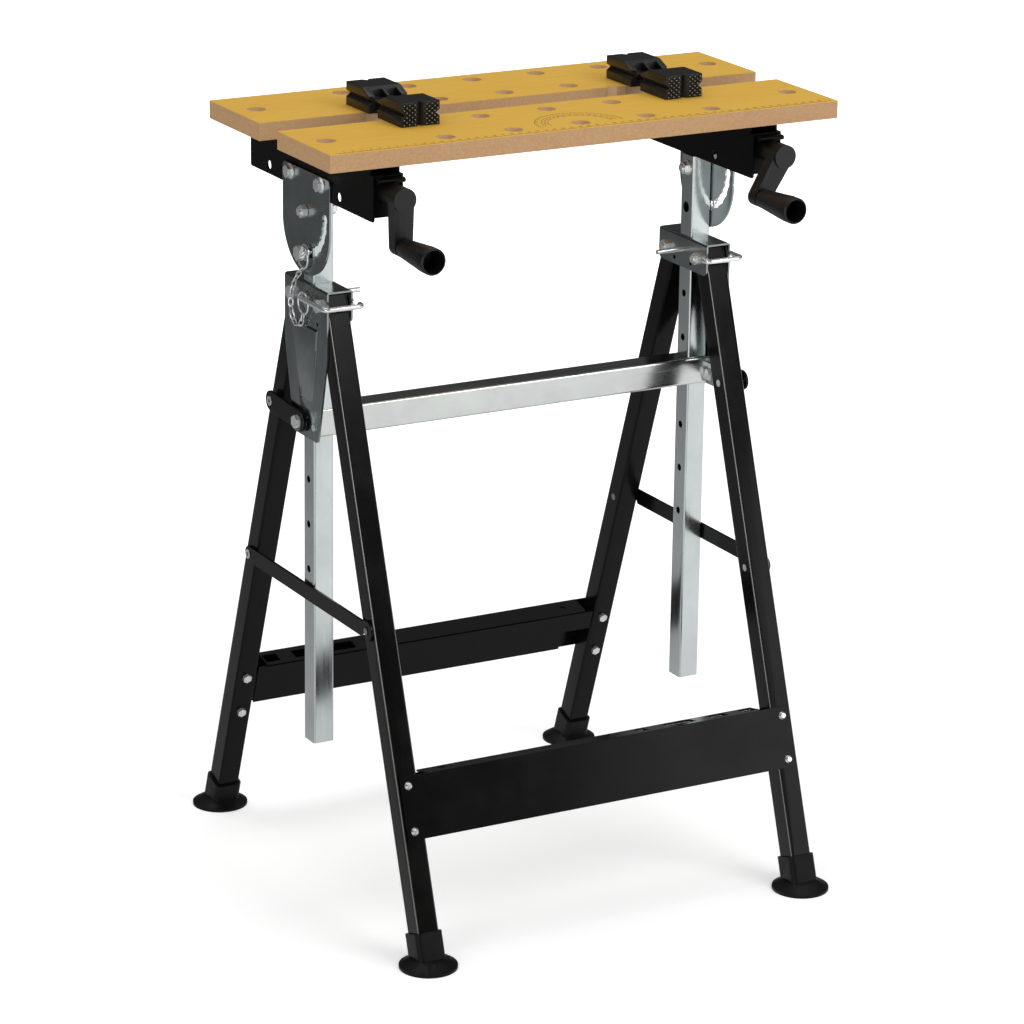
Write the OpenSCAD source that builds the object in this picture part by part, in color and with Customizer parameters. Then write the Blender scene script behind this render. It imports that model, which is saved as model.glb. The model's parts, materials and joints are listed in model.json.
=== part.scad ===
// Folding workbench: two vise boards on height-adjustable columns, over a folding pair of leg frames.
// Origin on the floor in the middle of the four feet. X runs along the boards, Y away from the user, Z up.

/* [Table] */
// Length of both boards
table_w = 597; // [500:1:800]
// Depth of one board
board_d = 120.6; // [100:0.1:150]
// Thickness of a board
board_t = 19; // [12:0.5:25]
// Height of the board tops at the lowest setting
table_h = 851; // [800:1:900]
// Gap between the two boards
jaw_gap = 42.3; // [30:0.1:60]
// How far the middle of that gap lies in front of the columns
gap_forward = 25.65; // [15:0.05:35]
// Diameter of a bench dog hole
dog_hole_d = 20; // [16:0.5:24]
// Distance of each hole row from the board's centre line
hole_row = 36; // [30:0.5:45]
// Spacing of the holes along a row
hole_pitch = 78.25; // [60:0.25:90]
// Distance of the end holes from the board's middle
end_hole_x = 273; // [240:1:280]

/* [Bench dogs] */
// Width of a dog
dog_w = 44.5; // [36:0.5:56]
// Height of a dog above the board
dog_h = 25; // [20:0.5:32]
// Distance from the peg to the gripping face
dog_front = 17; // [14:0.5:22]
// Distance from the peg to the plain end
dog_back = 36; // [28:0.5:40]
// Length of the peg below the board's top
peg_l = 22; // [16:0.5:28]

/* [Beams] */
// Width of a beam channel
beam_w = 34; // [30:0.5:40]
// Height of a beam channel
beam_h = 48; // [40:0.5:60]
// Thickness of the channel's steel
beam_wall = 2; // [1.5:0.1:3]
// Clear height between beam and boards
saddle_h = 12.5; // [10:0.5:22]
// Front end of a beam, ahead of the columns
beam_front = 148; // [135:1:150]
// Rear end of a beam, behind the columns
beam_rear = 138; // [130:1:160]

/* [Vise screws] */
// Diameter of a spindle
spindle_d = 12; // [10:0.5:14]
// Travel of the rear board for one turn of a crank
screw_pitch = 5; // [2:0.5:6]
// Turns that open the vise
turns_open = 11; // [8:1:16]
// Turns that close the vise
turns_close = 3; // [2:1:4]
// Distance from spindle to grip
crank_reach = 49; // [40:0.5:60]
// Length of a grip
grip_l = 64; // [50:1:80]

/* [Columns] */
// Width of a square column tube
column_w = 24; // [20:0.5:30]
// Wall of the column tube
column_wall = 1.6; // [1.2:0.1:3]
// Distance of each column's centre line from the middle
column_x = 229; // [200:0.5:250]
// Length of a column
column_l = 600; // [560:1:640]
// Spacing of the height holes
height_pitch = 50; // [40:1:60]
// Height of the lock pin
pin_z = 661; // [650:1:665]
// Diameter of the lock pin's rod
pin_d = 5.5; // [5:0.5:8]
// Diameter of the height holes
height_hole_d = 8; // [7:0.5:9]

/* [Tilt] */
// Height of the tilt pivot
tilt_z = 752; // [745:1:755]
// Radius of the slot about the pivot
slot_r = 44; // [40:0.5:46]
// How far the middle of the plate's round foot lies below the pivot
foot_middle = 13; // [10:0.5:18]
// Half width of the plate
tilt_plate_half = 55; // [50:0.5:60]
// Thickness of the plate
tilt_plate_t = 2.4; // [2:0.1:3]
// Diameter of the tilt bolts
tilt_bolt_d = 8; // [6:0.5:9]

/* [Head bracket] */
// Height of the bracket's top
bracket_top = 676; // [672:1:678]
// Height of the bracket's foot
bracket_foot = 508; // [495:1:515]
// Half depth of the bracket
bracket_half = 50; // [48:0.5:56]
// Half depth of its foot
foot_half = 30; // [24:0.5:34]
// Thickness of its sheet
bracket_t = 2; // [1.5:0.1:2.5]
// Side of the square crossbar
crossbar_w = 30; // [29:0.5:32]
// Height of the crossbar's centre line
crossbar_z = 525; // [520:1:530]

/* [Legs] */
// Width of a square leg tube
leg_w = 25; // [20:0.5:26]
// Wall of the leg tube
leg_wall = 1.6; // [1.2:0.1:3]
// Height of the leg pivots
leg_pivot_z = 658; // [650:1:662]
// Distance of each leg pivot from the middle
leg_pivot_y = 33; // [32:0.5:36]
// Distance of each foot from the middle, front to back
foot_y = 256; // [230:1:280]
// Diameter of a foot
foot_d = 62; // [50:1:70]
// Diameter of the leg pivot bolts
pivot_d = 8; // [6:0.5:10]

/* [Braces] */
// Height of the long straps
strap_z = 336; // [300:1:380]
// Width of a strap
strap_w = 17.5; // [16:0.5:26]
// Height of the short links
link_z = 528; // [520:1:535]
// Width of a link
link_w = 22; // [18:0.5:24]
// Distance of the link's hook bolt behind the middle
link_hook_y = 7; // [4:0.5:10]
// Swing of a strap for each degree of leg fold
strap_gain = 2.4; // [2:0.1:2.6]
// Swing of a link for each degree of leg fold
link_gain = 4; // [3.5:0.1:4.2]

/* [Hidden] */
$fn = 24;

black = [0.16, 0.16, 0.15];
zinc = [0.74, 0.77, 0.78];
board_colour = [0.86, 0.71, 0.35];
steel_black = [0.22, 0.22, 0.21];
plastic = [0.2, 0.2, 0.2];

// Clearances and overruns shared by every fit
running = 0.05;
slip = 0.3;
over = 1;
half = 1 / 2;
seat = 0.02;

// Boards
board_z = table_h - board_t;
front_board_y = -gap_forward - jaw_gap / 2 - board_d / 2;
rear_board_y = -gap_forward + jaw_gap / 2 + board_d / 2;
jaw_open = turns_open * screw_pitch;
jaw_close = turns_close * screw_pitch;
scoop_w = 42;
scoop_deep = 7;
scoop_r = (scoop_w * scoop_w / 4 + scoop_deep * scoop_deep) / (2 * scoop_deep);
pipe_notch_x = 118.5;
pipe_notch_r = 6.3;
dog_x = 2 * hole_pitch;

// Beams and what they hold
beam_x = column_x - (beam_w - column_w) / 2;
beam_top = board_z - saddle_h;
beam_foot = beam_top - beam_h;
beam_hole_d = 10;
beam_hole_up = 10;
beam_hole_z = beam_foot + beam_hole_up;
beam_hole_front = 71;
beam_hole_rear = 93;
spindle_down = 18.5;
spindle_z = beam_top - spindle_down;
end_plate_t = 2.4;
end_inset = 2.5;
end_plate_y = -beam_front + end_inset;
rear_plate_y = beam_rear - 2 * end_inset;
saddle_t = 2.5;
front_saddle_l = 78;
front_saddle_back = 6;
front_saddle_y = front_board_y + front_saddle_back;
carrier_l = 92;
nut_w = 18;
nut_l = 24;
nut_h = 20;
nut_ahead = 6;
nut_y = rear_board_y - nut_ahead;
neck_w = 14;
screw_r = 2.5;
screw_head_r = 5;
screw_head_h = 3;
screw_bite = 10;
screw_step = 27;

// Cranks
hub_r = 12.5;
boss_t = 2.5;
arm_r = 11.5;
spindle_tail = 8;
hub_front = -183;
hub_back = -169;
collar_r = 11;
arm_tip_r = 10;
grip_pin_r = 5.95;
grip_r = 14;
grip_neck_r = 10;
grip_wall = 2;
grip_end_d = 26;
grip_flare_share = 0.8;
grip_head_r = 7.95;
grip_lip = 1.5;
right_crank_turn = 31;

// Tilt plates
plate_gap = slip;
plate_in = column_x + column_w / 2 + plate_gap;
plate_out = plate_in + tilt_plate_t;
plate_rise = 43;
plate_top = tilt_z + plate_rise;
plate_bolt_y = 35.5;
plate_bolt_up = 35;
plate_bolt_z = tilt_z + plate_bolt_up;
plate_bolt_d = 8;
flange_r = 8.5;
lock_z = tilt_z - slot_r;
slot_half = tilt_bolt_d / 2 + slip;
scallop_r = 5.4;
scallop_step = 15;
slot_sweep = 90;

// Columns
column_over = 14;
column_top = tilt_z + column_over;
column_foot = column_top - column_l;
height_holes = 7;
access_hole_r = 6;

// Brackets and crossbar
bracket_out = column_x + leg_w / 2 + half;
bracket_in = column_x - leg_w / 2 - half;
inner_plate_z = 641;
taper_z = 605;
bend_r = 3;
panel_rise = 1.5;
panel_draft_share = 1.5;
crossbar_wall = 2;
crossbar_bolt_out = 19.5;
crossbar_bolt_y = -crossbar_bolt_out;
crossbar_bolt_down = 2;
crossbar_bolt_z = crossbar_z - crossbar_bolt_down;
crossbar_bolt_d = 5;

// Legs, in the rear leg's own frame: origin at its pivot, -Z down the leg, +Y outward
leg_drop = leg_pivot_z;
leg_spread = foot_y - leg_pivot_y;
leg_angle = atan(leg_spread / leg_drop);
leg_l = sqrt(leg_drop * leg_drop + leg_spread * leg_spread);
leg_top = 9;
leg_end = 9;
corner_r = 2.5;
strap_s = (leg_pivot_z - strap_z) / cos(leg_angle);
link_s = (leg_pivot_z - link_z) / cos(leg_angle);
strap_y = leg_pivot_y + strap_s * sin(leg_angle);
link_y = leg_pivot_y + link_s * sin(leg_angle);

// Stretchers
bolt_s1 = 504.7;
bolt_s2 = 552.7;
stretcher_rise = 10;
stretcher_top = bolt_s1 - stretcher_rise;
web_h = 67;
lip_h = 48;
sheet_t = 2;
notch_h = 24;
stretcher_bolt_d = 6;

// Feet
sole_r = foot_d / 2;
sole_t = 3;
flare_h = 8;
sleeve_lift = 6.6;
sleeve_wall = 3.2;
sleeve_w = leg_w + 2 * sleeve_wall;
sleeve_l = 30;

// Straps and links
strap_t = 3;
strap_in = column_x + leg_w / 2 + slip;
link_in = bracket_out + bracket_t + panel_rise + slip;
link_t = 3;
stud_d = 8;
hook_r = 11.5;
strap_slant = atan(2 * strap_s * cos(leg_angle) / (2 * strap_y * (strap_gain + 1)));
link_hook_drop = 4;
link_rise = (link_y - link_hook_y) * (link_gain + 1) - link_s * sin(leg_angle);
link_run = link_s * cos(leg_angle) + link_hook_drop * (link_gain + 1);
link_slant = atan(link_run / link_rise);
hook_slot_half = stud_d / 2 + 1;

// Fasteners
hex_share = 1.75;
nut_share = 0.7;
tip_share = 1.1;
washer_t = 1.2;
lock_head_gap = 3.4;
head_t = 5;
low_head_t = 1.5;

// Chain: its route, its links and its two rings, on the left side
link_wire = 1.6;
link_bend_r = 2.4;
link_straight = 4.6;
ring_wire = 2.2;
top_ring_r = 11;
pin_ring_r = 11.6;
chain_slack = 0.5;
link_reach = link_straight + 2 * link_bend_r - link_wire - chain_slack;
link_turns = 4;
link_sides = 6;
chain_x = plate_out + slip + washer_t + lock_head_gap / 2;
top_ring_z = lock_z + tilt_bolt_d / 2 + slip - top_ring_r + ring_wire / 2;
pin_ring_z = pin_z + pin_d / 2 + slip - pin_ring_r + ring_wire / 2;
chain_from = [chain_x, 0, top_ring_z - top_ring_r];
chain_to = [chain_x, 0, pin_ring_z - pin_ring_r];
chain_pull_down = [12, 36, -34];
chain_pull_up = [3, 4, -40];
chain_points = 60;

// Lock pin
pin_arm_x = 252;
pin_past = 33;
pin_tip = bracket_in - bracket_t - pin_past;
pin_front = 62;
pin_hook = 208;
pin_bend_r = 6;
pin_hook_end = 3;

// Mirrors a right-hand piece to the left
module to_left() {
    mirror([1, 0, 0]) children();
}

// Turns a rear-frame piece into its front-frame twin
module turned() {
    rotate([0, 0, 180]) children();
}

// Places children in the rear leg's own frame
module on_leg() {
    translate([0, leg_pivot_y, leg_pivot_z]) rotate([leg_angle, 0, 0]) children();
}

// Rod along +X
module rod_x(r, x0, x1) {
    translate([x0, 0, 0]) rotate([0, 90, 0]) cylinder(r = r, h = x1 - x0);
}

// Rod along +Y
module rod_y(r, y0, y1) {
    translate([0, y0, 0]) rotate([-90, 0, 0]) cylinder(r = r, h = y1 - y0);
}

// Hexagon prism along +X, a nut where it has a bore
module hex_x(d, x0, x1, bore_r = 0) {
    difference() {
        translate([x0, 0, 0]) rotate([0, 90, 0]) cylinder(d = d * hex_share, h = x1 - x0, $fn = 6);
        if (bore_r > 0) rod_x(bore_r, x0 - over, x1 + over);
    }
}

// Outline with round corners
module rounded_rect(w, d, r) {
    square([w - 2 * r, d], center = true);
    square([w, d - 2 * r], center = true);
    for (sx = [-1, 1], sy = [-1, 1]) {
        translate([sx * (w / 2 - r), sy * (d / 2 - r)]) circle(r);
    }
}

// Square tube standing on z0
module tube_z(w, wall, z0, z1) {
    translate([0, 0, z0]) linear_extrude(z1 - z0) difference() {
        rounded_rect(w, w, corner_r);
        square(w - 2 * wall, center = true);
    }
}

// Outline in Y and Z, standing on plane x0
module plate_x(x0, x1) {
    translate([x0, 0, 0]) rotate([90, 0, 90]) linear_extrude(x1 - x0) children();
}

// Tapered bar from the origin down to -Z: two round ends and their tangents
module bar_outline(r0, r1, reach) {
    lean = asin((r0 - r1) / reach);
    circle(r0);
    translate([0, -reach]) circle(r1);
    polygon([[r0 * cos(lean), -r0 * sin(lean)], [r1 * cos(lean), -reach - r1 * sin(lean)],
        [-r1 * cos(lean), -reach - r1 * sin(lean)], [-r0 * cos(lean), -r0 * sin(lean)]]);
}

// Boards

function hole_places(y) = concat(
    [for (k = [-2:2]) [k * hole_pitch, y - hole_row]],
    [for (k = [-2:2]) [k * hole_pitch, y + hole_row]],
    [[-end_hole_x, y], [end_hole_x, y]]);

function screw_places(y) = [for (sx = [-1, 1], sy = [-1, 1]) [sx * beam_x, y + sy * screw_step]];

module board(y, screw_y) {
    difference() {
        translate([-table_w / 2, y - board_d / 2, board_z]) cube([table_w, board_d, board_t]);
        for (p = hole_places(y)) {
            translate([p[0], p[1], board_z - over]) cylinder(d = dog_hole_d, h = board_t + 2 * over);
        }
        for (p = screw_places(screw_y)) {
            translate([p[0], p[1], board_z - over]) cylinder(r = screw_r + running, h = screw_bite + over);
        }
    }
}

module front_board() {
    color(board_colour) board(front_board_y, front_saddle_y);
}

module rear_board() {
    color(board_colour) difference() {
        board(rear_board_y, nut_y);
        for (sx = [-1, 1]) {
            translate([sx * dog_x, rear_board_y - board_d / 2 + scoop_deep - scoop_r, board_z - over])
                cylinder(r = scoop_r, h = board_t + 2 * over);
            translate([sx * pipe_notch_x, rear_board_y - board_d / 2, board_z - over])
                cylinder(r = pipe_notch_r, h = board_t + 2 * over);
        }
    }
}

// Bench dogs, in their own frame: origin at the peg on the board's top, gripping face towards -Y

groove_h = 6.5;
groove_deep = 4.5;
face_groove_w = 7;
face_groove_deep = 5;
dog_chamfer_l = 16;
dog_chamfer_h = 7;
pocket_wall = 2.6;
pocket_back = 4;
mid_web = 3;
peg_gap = 0.08;

module dog_pocket(x0, x1, z0, z1) {
    translate([x0, dog_back - dog_chamfer_l + pocket_back, z0]) cube([x1 - x0, dog_chamfer_l, z1 - z0]);
}

module dog_body() {
    difference() {
        translate([-dog_w / 2, -dog_front, 0]) cube([dog_w, dog_front + dog_back, dog_h]);
        for (sx = [-1, 1]) {
            translate([sx * dog_w / 2, -dog_front - over, dog_h / 2]) rotate([-90, 0, 0])
                linear_extrude(dog_front + dog_back + 2 * over)
                    polygon([[-sx * groove_deep, 0], [sx * over, -groove_h / 2 - over], [sx * over,
                        groove_h / 2 + over]]);
        }
        translate([0, -dog_front, -over]) linear_extrude(dog_h + 2 * over)
            polygon([[-face_groove_w / 2 - over, -over], [0, face_groove_deep],
                [face_groove_w / 2 + over, -over]]);
        translate([-dog_w / 2 - over, 0, 0]) rotate([90, 0, 90]) linear_extrude(dog_w + 2 * over)
            polygon([[dog_back - dog_chamfer_l, dog_h], [dog_back + over, dog_h - dog_chamfer_h],
                [dog_back + over, dog_h + over], [dog_back - dog_chamfer_l, dog_h + over]]);
        dog_pocket(-dog_w / 2 + groove_deep + pocket_wall, -pocket_wall / 2,
            dog_h / 2 + mid_web / 2, dog_h + over);
        dog_pocket(pocket_wall / 2, dog_w / 2 - groove_deep - pocket_wall, dog_h / 2 + mid_web / 2,
            dog_h + over);
        dog_pocket(-dog_w / 2 + groove_deep + pocket_wall, dog_w / 2 - groove_deep - pocket_wall,
            mid_web, dog_h / 2 - mid_web / 2);
    }
    translate([0, 0, -peg_l]) cylinder(r = dog_hole_d / 2 - peg_gap, h = peg_l + seat);
}

module dog(sx, y, turn) {
    color(black) translate([sx * dog_x, y, table_h]) rotate([0, 0, turn]) dog_body();
}

module front_left_dog() {
    dog(-1, front_board_y + hole_row, 0);
}

module front_right_dog() {
    dog(1, front_board_y + hole_row, 0);
}

module rear_left_dog() {
    dog(-1, rear_board_y - hole_row, 180);
}

module rear_right_dog() {
    dog(1, rear_board_y - hole_row, 180);
}

// Beams, with the slot that the screw nut's neck runs in

neck_slot_w = neck_w + 2 * slip;
neck_slot_front = nut_y - jaw_close - nut_l / 2 - over;
neck_slot_rear = nut_y + jaw_open + nut_l / 2 + over;
beam_corner_r = 3;

module beam_outline() {
    translate([-beam_front, beam_foot + beam_corner_r])
        square([beam_front + beam_rear, beam_h - beam_corner_r]);
    translate([-beam_front + beam_corner_r, beam_foot])
        square([beam_front + beam_rear - 2 * beam_corner_r, 2 * beam_corner_r]);
    for (y = [-beam_front + beam_corner_r, beam_rear - beam_corner_r]) {
        translate([y, beam_foot + beam_corner_r]) circle(beam_corner_r);
    }
}

module beam() {
    color(steel_black) difference() {
        plate_x(beam_x - beam_w / 2, beam_x + beam_w / 2) beam_outline();
        translate([beam_x - beam_w / 2 + beam_wall, -beam_front - over, beam_foot - over])
            cube([beam_w - 2 * beam_wall, beam_front + beam_rear + 2 * over, beam_h - beam_wall + over]);
        translate([beam_x - neck_slot_w / 2, neck_slot_front, beam_top - beam_wall - over])
            cube([neck_slot_w, neck_slot_rear - neck_slot_front, beam_wall + 2 * over]);
        for (y = [-beam_hole_front, beam_hole_rear]) {
            translate([0, y, beam_hole_z]) rod_x(beam_hole_d / 2, beam_x - beam_w / 2 - over,
                beam_x + beam_w / 2 + over);
        }
        for (sy = [-1, 1]) {
            translate([0, sy * plate_bolt_y, plate_bolt_z])
                rod_x(plate_bolt_d / 2 + running, beam_x, beam_x + beam_w / 2 + over);
        }
    }
}

module left_beam() {
    to_left() beam();
}

module right_beam() {
    beam();
}

// Front end plates close the beams and carry the spindle, under a rolled hood

hood_l = 10;
hood_r = 2.5;
plate_side = beam_w - 2 * beam_wall - 2 * seat;
plate_up = 4;
plate_foot = beam_foot + plate_up;
plate_head = beam_top - beam_wall - seat;

module end_plate(y) {
    difference() {
        translate([beam_x - plate_side / 2, y, plate_foot]) cube([plate_side, end_plate_t,
            plate_head - plate_foot]);
        translate([beam_x, 0, spindle_z]) rod_y(spindle_d / 2 + running, y - over, y + end_plate_t + over);
    }
}

module front_end_plate() {
    end_plate(end_plate_y);
    plate_x(beam_x - plate_side / 2, beam_x + plate_side / 2) {
        translate([end_plate_y - hood_l, plate_head - end_plate_t]) square([hood_l + end_plate_t,
            end_plate_t]);
        translate([end_plate_y - hood_l, plate_head - hood_r]) circle(hood_r);
    }
}

module front_end_plates() {
    color(steel_black) front_end_plate();
    color(steel_black) to_left() front_end_plate();
}

module rear_end_plates() {
    color(steel_black) end_plate(rear_plate_y);
    color(steel_black) to_left() end_plate(rear_plate_y);
}

// Saddles carry the fixed front board, carriers slide the rear board along the beams

module saddle(y, l, lift) {
    difference() {
        translate([beam_x - beam_w / 2, y - l / 2, beam_top + lift]) cube([beam_w, l, saddle_h - lift]);
        translate([beam_x - beam_w / 2 + saddle_t, y - l / 2 - over, beam_top - over])
            cube([beam_w - 2 * saddle_t, l + 2 * over, saddle_h - saddle_t + over]);
        for (sy = [-1, 1]) {
            translate([beam_x, y + sy * screw_step, board_z - saddle_t - over])
                cylinder(r = screw_r + running, h = saddle_t + 2 * over);
        }
    }
}

module saddle_screws(y) {
    for (p = screw_places(y)) {
        translate([p[0], p[1], board_z - saddle_t]) {
            cylinder(r = screw_r, h = saddle_t + screw_bite - slip);
            translate([0, 0, -screw_head_h]) cylinder(r = screw_head_r, h = screw_head_h);
        }
    }
}

module front_saddles() {
    color(steel_black) saddle(front_saddle_y, front_saddle_l, 0);
    color(steel_black) to_left() saddle(front_saddle_y, front_saddle_l, 0);
}

module front_saddle_screws() {
    color(zinc) saddle_screws(front_saddle_y);
}

module rear_saddle_screws() {
    color(zinc) saddle_screws(nut_y);
}

module nut_carrier() {
    color(steel_black) {
        saddle(nut_y, carrier_l, slip);
        difference() {
            union() {
                translate([beam_x - nut_w / 2, nut_y - nut_l / 2, spindle_z - nut_h / 2])
                    cube([nut_w, nut_l, nut_h]);
                translate([beam_x - neck_w / 2, nut_y - nut_l / 2, spindle_z])
                    cube([neck_w, nut_l, board_z - saddle_t - spindle_z + seat]);
            }
            translate([beam_x, 0, spindle_z])
                rod_y(spindle_d / 2 + running, nut_y - nut_l, nut_y + nut_l);
        }
    }
}

module left_nut_carrier() {
    to_left() nut_carrier();
}

module right_nut_carrier() {
    nut_carrier();
}

// Spindles, cranks and grips

clip_t = 1.5;
clip_r = 8.5;

module spindle() {
    color(zinc) translate([beam_x, 0, spindle_z]) {
        rod_y(spindle_d / 2, hub_back - spindle_tail, beam_rear);
        rod_y(clip_r, end_plate_y + end_plate_t + slip, end_plate_y + end_plate_t + slip + clip_t);
    }
}

module crank(turn) {
    grip_end = hub_front - grip_l;
    color(plastic) translate([beam_x, 0, spindle_z]) rotate([0, turn, 0]) {
        difference() {
            union() {
                translate([0, hub_back, 0]) rotate([90, 0, 0]) linear_extrude(hub_back - hub_front)
                    bar_outline(arm_r, arm_tip_r, crank_reach);
                rod_y(hub_r, hub_front - boss_t, hub_back - seat);
                rod_y(collar_r, hub_back - 2 * seat, end_plate_y - slip);
            }
            rod_y(spindle_d / 2 + running, hub_back - spindle_tail - seat, end_plate_y);
        }
        translate([0, 0, -crank_reach]) {
            rod_y(grip_pin_r, grip_end + grip_end_d, hub_front + seat);
            rod_y(grip_head_r, grip_end + grip_end_d - grip_wall, grip_end + grip_end_d + seat);
        }
    }
}

// A hollow grip that turns on its pin; the profile is radius against distance from the arm
module grip(turn) {
    bore_end = grip_l - grip_end_d - 2 * slip;
    bore_r = grip_pin_r + running;
    color(plastic) translate([beam_x, 0, spindle_z]) rotate([0, turn, 0])
        translate([0, hub_front - slip, -crank_reach]) rotate([90, 0, 0]) rotate_extrude()
            polygon([[bore_r, 0], [grip_neck_r - grip_lip, 0], [grip_neck_r, grip_lip], [grip_r,
                grip_l * grip_flare_share],
                [grip_r, grip_l - grip_lip], [grip_r - grip_lip, grip_l], [grip_r - grip_wall, grip_l],
                [grip_r - grip_wall - grip_lip, bore_end], [bore_r, bore_end]]);
}

module left_spindle() {
    to_left() spindle();
}

module right_spindle() {
    spindle();
}

module left_crank() {
    translate([-2 * beam_x, 0, 0]) crank(0);
}

module right_crank() {
    crank(right_crank_turn);
}

module left_grip() {
    translate([-2 * beam_x, 0, 0]) grip(0);
}

module right_grip() {
    grip(right_crank_turn);
}

// Tilt plates: a round foot with a scalloped slot about the pivot

top_corner_r = 6;

module slot_sector() {
    far = 2 * tilt_plate_half;
    polygon([[0, 0], [0, -far], [-far, -far], [-far, far * sin(slot_sweep - 90)]]);
}

module tilt_outline() {
    difference() {
        union() {
            translate([0, (plate_top - tilt_z) / 2 - top_corner_r])
                rounded_rect(2 * tilt_plate_half, plate_top - tilt_z + 2 * top_corner_r, top_corner_r);
            intersection() {
                translate([0, -foot_middle]) circle(tilt_plate_half);
                translate([0, -tilt_plate_half]) square([2 * tilt_plate_half, 2 * tilt_plate_half],
                    center = true);
            }
        }
        circle(tilt_bolt_d / 2 + running);
        intersection() {
            difference() {
                circle(slot_r + slot_half);
                circle(slot_r - slot_half);
            }
            slot_sector();
        }
        for (a = [0:scallop_step:slot_sweep]) {
            translate([-slot_r * sin(a), -slot_r * cos(a)]) circle(scallop_r);
        }
        for (sy = [-1, 1]) {
            translate([sy * plate_bolt_y, plate_bolt_z - tilt_z]) circle(plate_bolt_d / 2 + running);
        }
    }
}

module tilt_plate() {
    color(zinc) translate([0, 0, tilt_z]) plate_x(plate_in, plate_out) tilt_outline();
}

module left_tilt_plate() {
    to_left() tilt_plate();
}

module right_tilt_plate() {
    tilt_plate();
}

module plate_bolt() {
    inner = beam_x + beam_w / 2 - beam_wall;
    nut_in = inner - plate_bolt_d * nut_share;
    rod_x(plate_bolt_d / 2, nut_in, plate_out + seat);
    rod_x(flange_r, plate_out, plate_out + washer_t);
    hex_x(plate_bolt_d, plate_out + washer_t - seat, plate_out + washer_t + head_t);
    hex_x(plate_bolt_d, nut_in, inner, plate_bolt_d / 2 + running);
}

module tilt_plate_bolts() {
    color(zinc) for (sy = [-1, 1]) {
        translate([0, sy * plate_bolt_y, plate_bolt_z]) plate_bolt();
        to_left() translate([0, sy * plate_bolt_y, plate_bolt_z]) plate_bolt();
    }
}

// Tilt pivot bolt through the column, with a domed head inside and a nut outside

column_in = column_x - column_w / 2;
dome_t = 5;
pivot_head_r = 8.5;
pivot_nut_t = 6.5;
pivot_tip = 2.5;

module pivot_bolt() {
    nut_on = plate_out + slip;
    rod_x(tilt_bolt_d / 2, column_in - seat, nut_on + pivot_nut_t + pivot_tip);
    rod_x(pivot_head_r, column_in - washer_t, column_in);
    translate([column_in - washer_t + seat, 0, 0]) mirror([1, 0, 0]) hex_x(tilt_bolt_d, 0, dome_t);
    rod_x(tilt_bolt_d / 2, column_in - dome_t - pivot_tip - washer_t, column_in - dome_t);
    hex_x(tilt_bolt_d, nut_on, nut_on + pivot_nut_t, tilt_bolt_d / 2 + running);
}

module tilt_pivot_bolts() {
    color(zinc) translate([0, 0, tilt_z]) pivot_bolt();
    color(zinc) to_left() translate([0, 0, tilt_z]) pivot_bolt();
}

// Lock bolt that clamps the plate through its slot, and carries the chain's top ring

lock_washer_r = 9;
lock_head_d = 9.5;
lock_nut_t = 6;
bolt_tip = 2;

module lock_bolt() {
    nut_in = column_x + column_w / 2 - column_wall - lock_nut_t;
    head = plate_out + slip + washer_t + lock_head_gap;
    rod_x(tilt_bolt_d / 2, nut_in - bolt_tip, head + seat);
    difference() {
        rod_x(lock_washer_r, plate_out + slip, plate_out + slip + washer_t);
        rod_x(tilt_bolt_d / 2 + running, plate_out, plate_out + slip + washer_t + over);
    }
    rod_x(tilt_bolt_d, head, head + washer_t);
    hex_x(lock_head_d, head + washer_t - seat, head + washer_t + head_t);
    hex_x(tilt_bolt_d, nut_in, nut_in + lock_nut_t, tilt_bolt_d / 2 + running);
}

module tilt_lock_bolts() {
    color(zinc) translate([0, 0, lock_z]) lock_bolt();
    color(zinc) to_left() translate([0, 0, lock_z]) lock_bolt();
}

// Columns

module column() {
    color(zinc) difference() {
        translate([column_x, 0, 0]) tube_z(column_w, column_wall, column_foot, column_top);
        for (k = [0:height_holes - 1]) {
            translate([0, 0, pin_z - k * height_pitch])
                rod_x(height_hole_d / 2, column_in - over, column_x + column_w);
        }
        translate([0, 0, tilt_z]) rod_x(tilt_bolt_d / 2 + running, column_in - over, column_x + column_w);
        translate([0, 0, lock_z]) rod_x(tilt_bolt_d / 2 + running, column_x, column_x + column_w);
        translate([0, 0, lock_z]) rod_x(access_hole_r, column_in - over, column_x);
    }
}

module left_column() {
    to_left() column();
}

module right_column() {
    column();
}

// Chain: links of round wire along a hanging curve, each turned a quarter from the last, between two rings

function hang(t) = pow(1 - t, 3) * chain_from + 3 * pow(1 - t, 2) * t * (chain_from + chain_pull_down)
    + 3 * (1 - t) * t * t * (chain_to + chain_pull_up) + pow(t, 3) * chain_to;
hang_points = [for (i = [0:chain_points]) hang(i / chain_points)];
hang_steps = [for (i = [0:chain_points - 1]) norm(hang_points[i + 1] - hang_points[i])];
function sum_to(n) = n <= 0 ? 0 : hang_steps[n - 1] + sum_to(n - 1);
hang_l = sum_to(chain_points);
end_reach = link_straight / 2 + link_bend_r - link_wire / 2 - ring_wire / 2 - chain_slack / 2;
chain_pairs = ceil((hang_l - 2 * end_reach) / (2 * link_reach));
chain_step = (hang_l - 2 * end_reach) / (2 * chain_pairs);

function on_hang(s, i = 0) = i >= chain_points - 1 || s <= hang_steps[i]
    ? hang_points[i] + (hang_points[i + 1] - hang_points[i]) * s / hang_steps[i]
    : on_hang(s - hang_steps[i], i + 1);

// One link lies in the XY plane, long along Y: two half rings of wire and the straights between them
function link_centre(i) = let(a = (i % (link_turns + 1)) * 180 / link_turns + (i > link_turns ? 180 : 0))
    [a, (i > link_turns ? -1 : 1) * link_straight / 2];
function link_point(i, j) = let(c = link_centre(i), b = j * 360 / link_sides,
    r = link_bend_r + link_wire / 2 * cos(b))
    [r * cos(c[0]), c[1] + r * sin(c[0]), link_wire / 2 * sin(b)];

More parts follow.
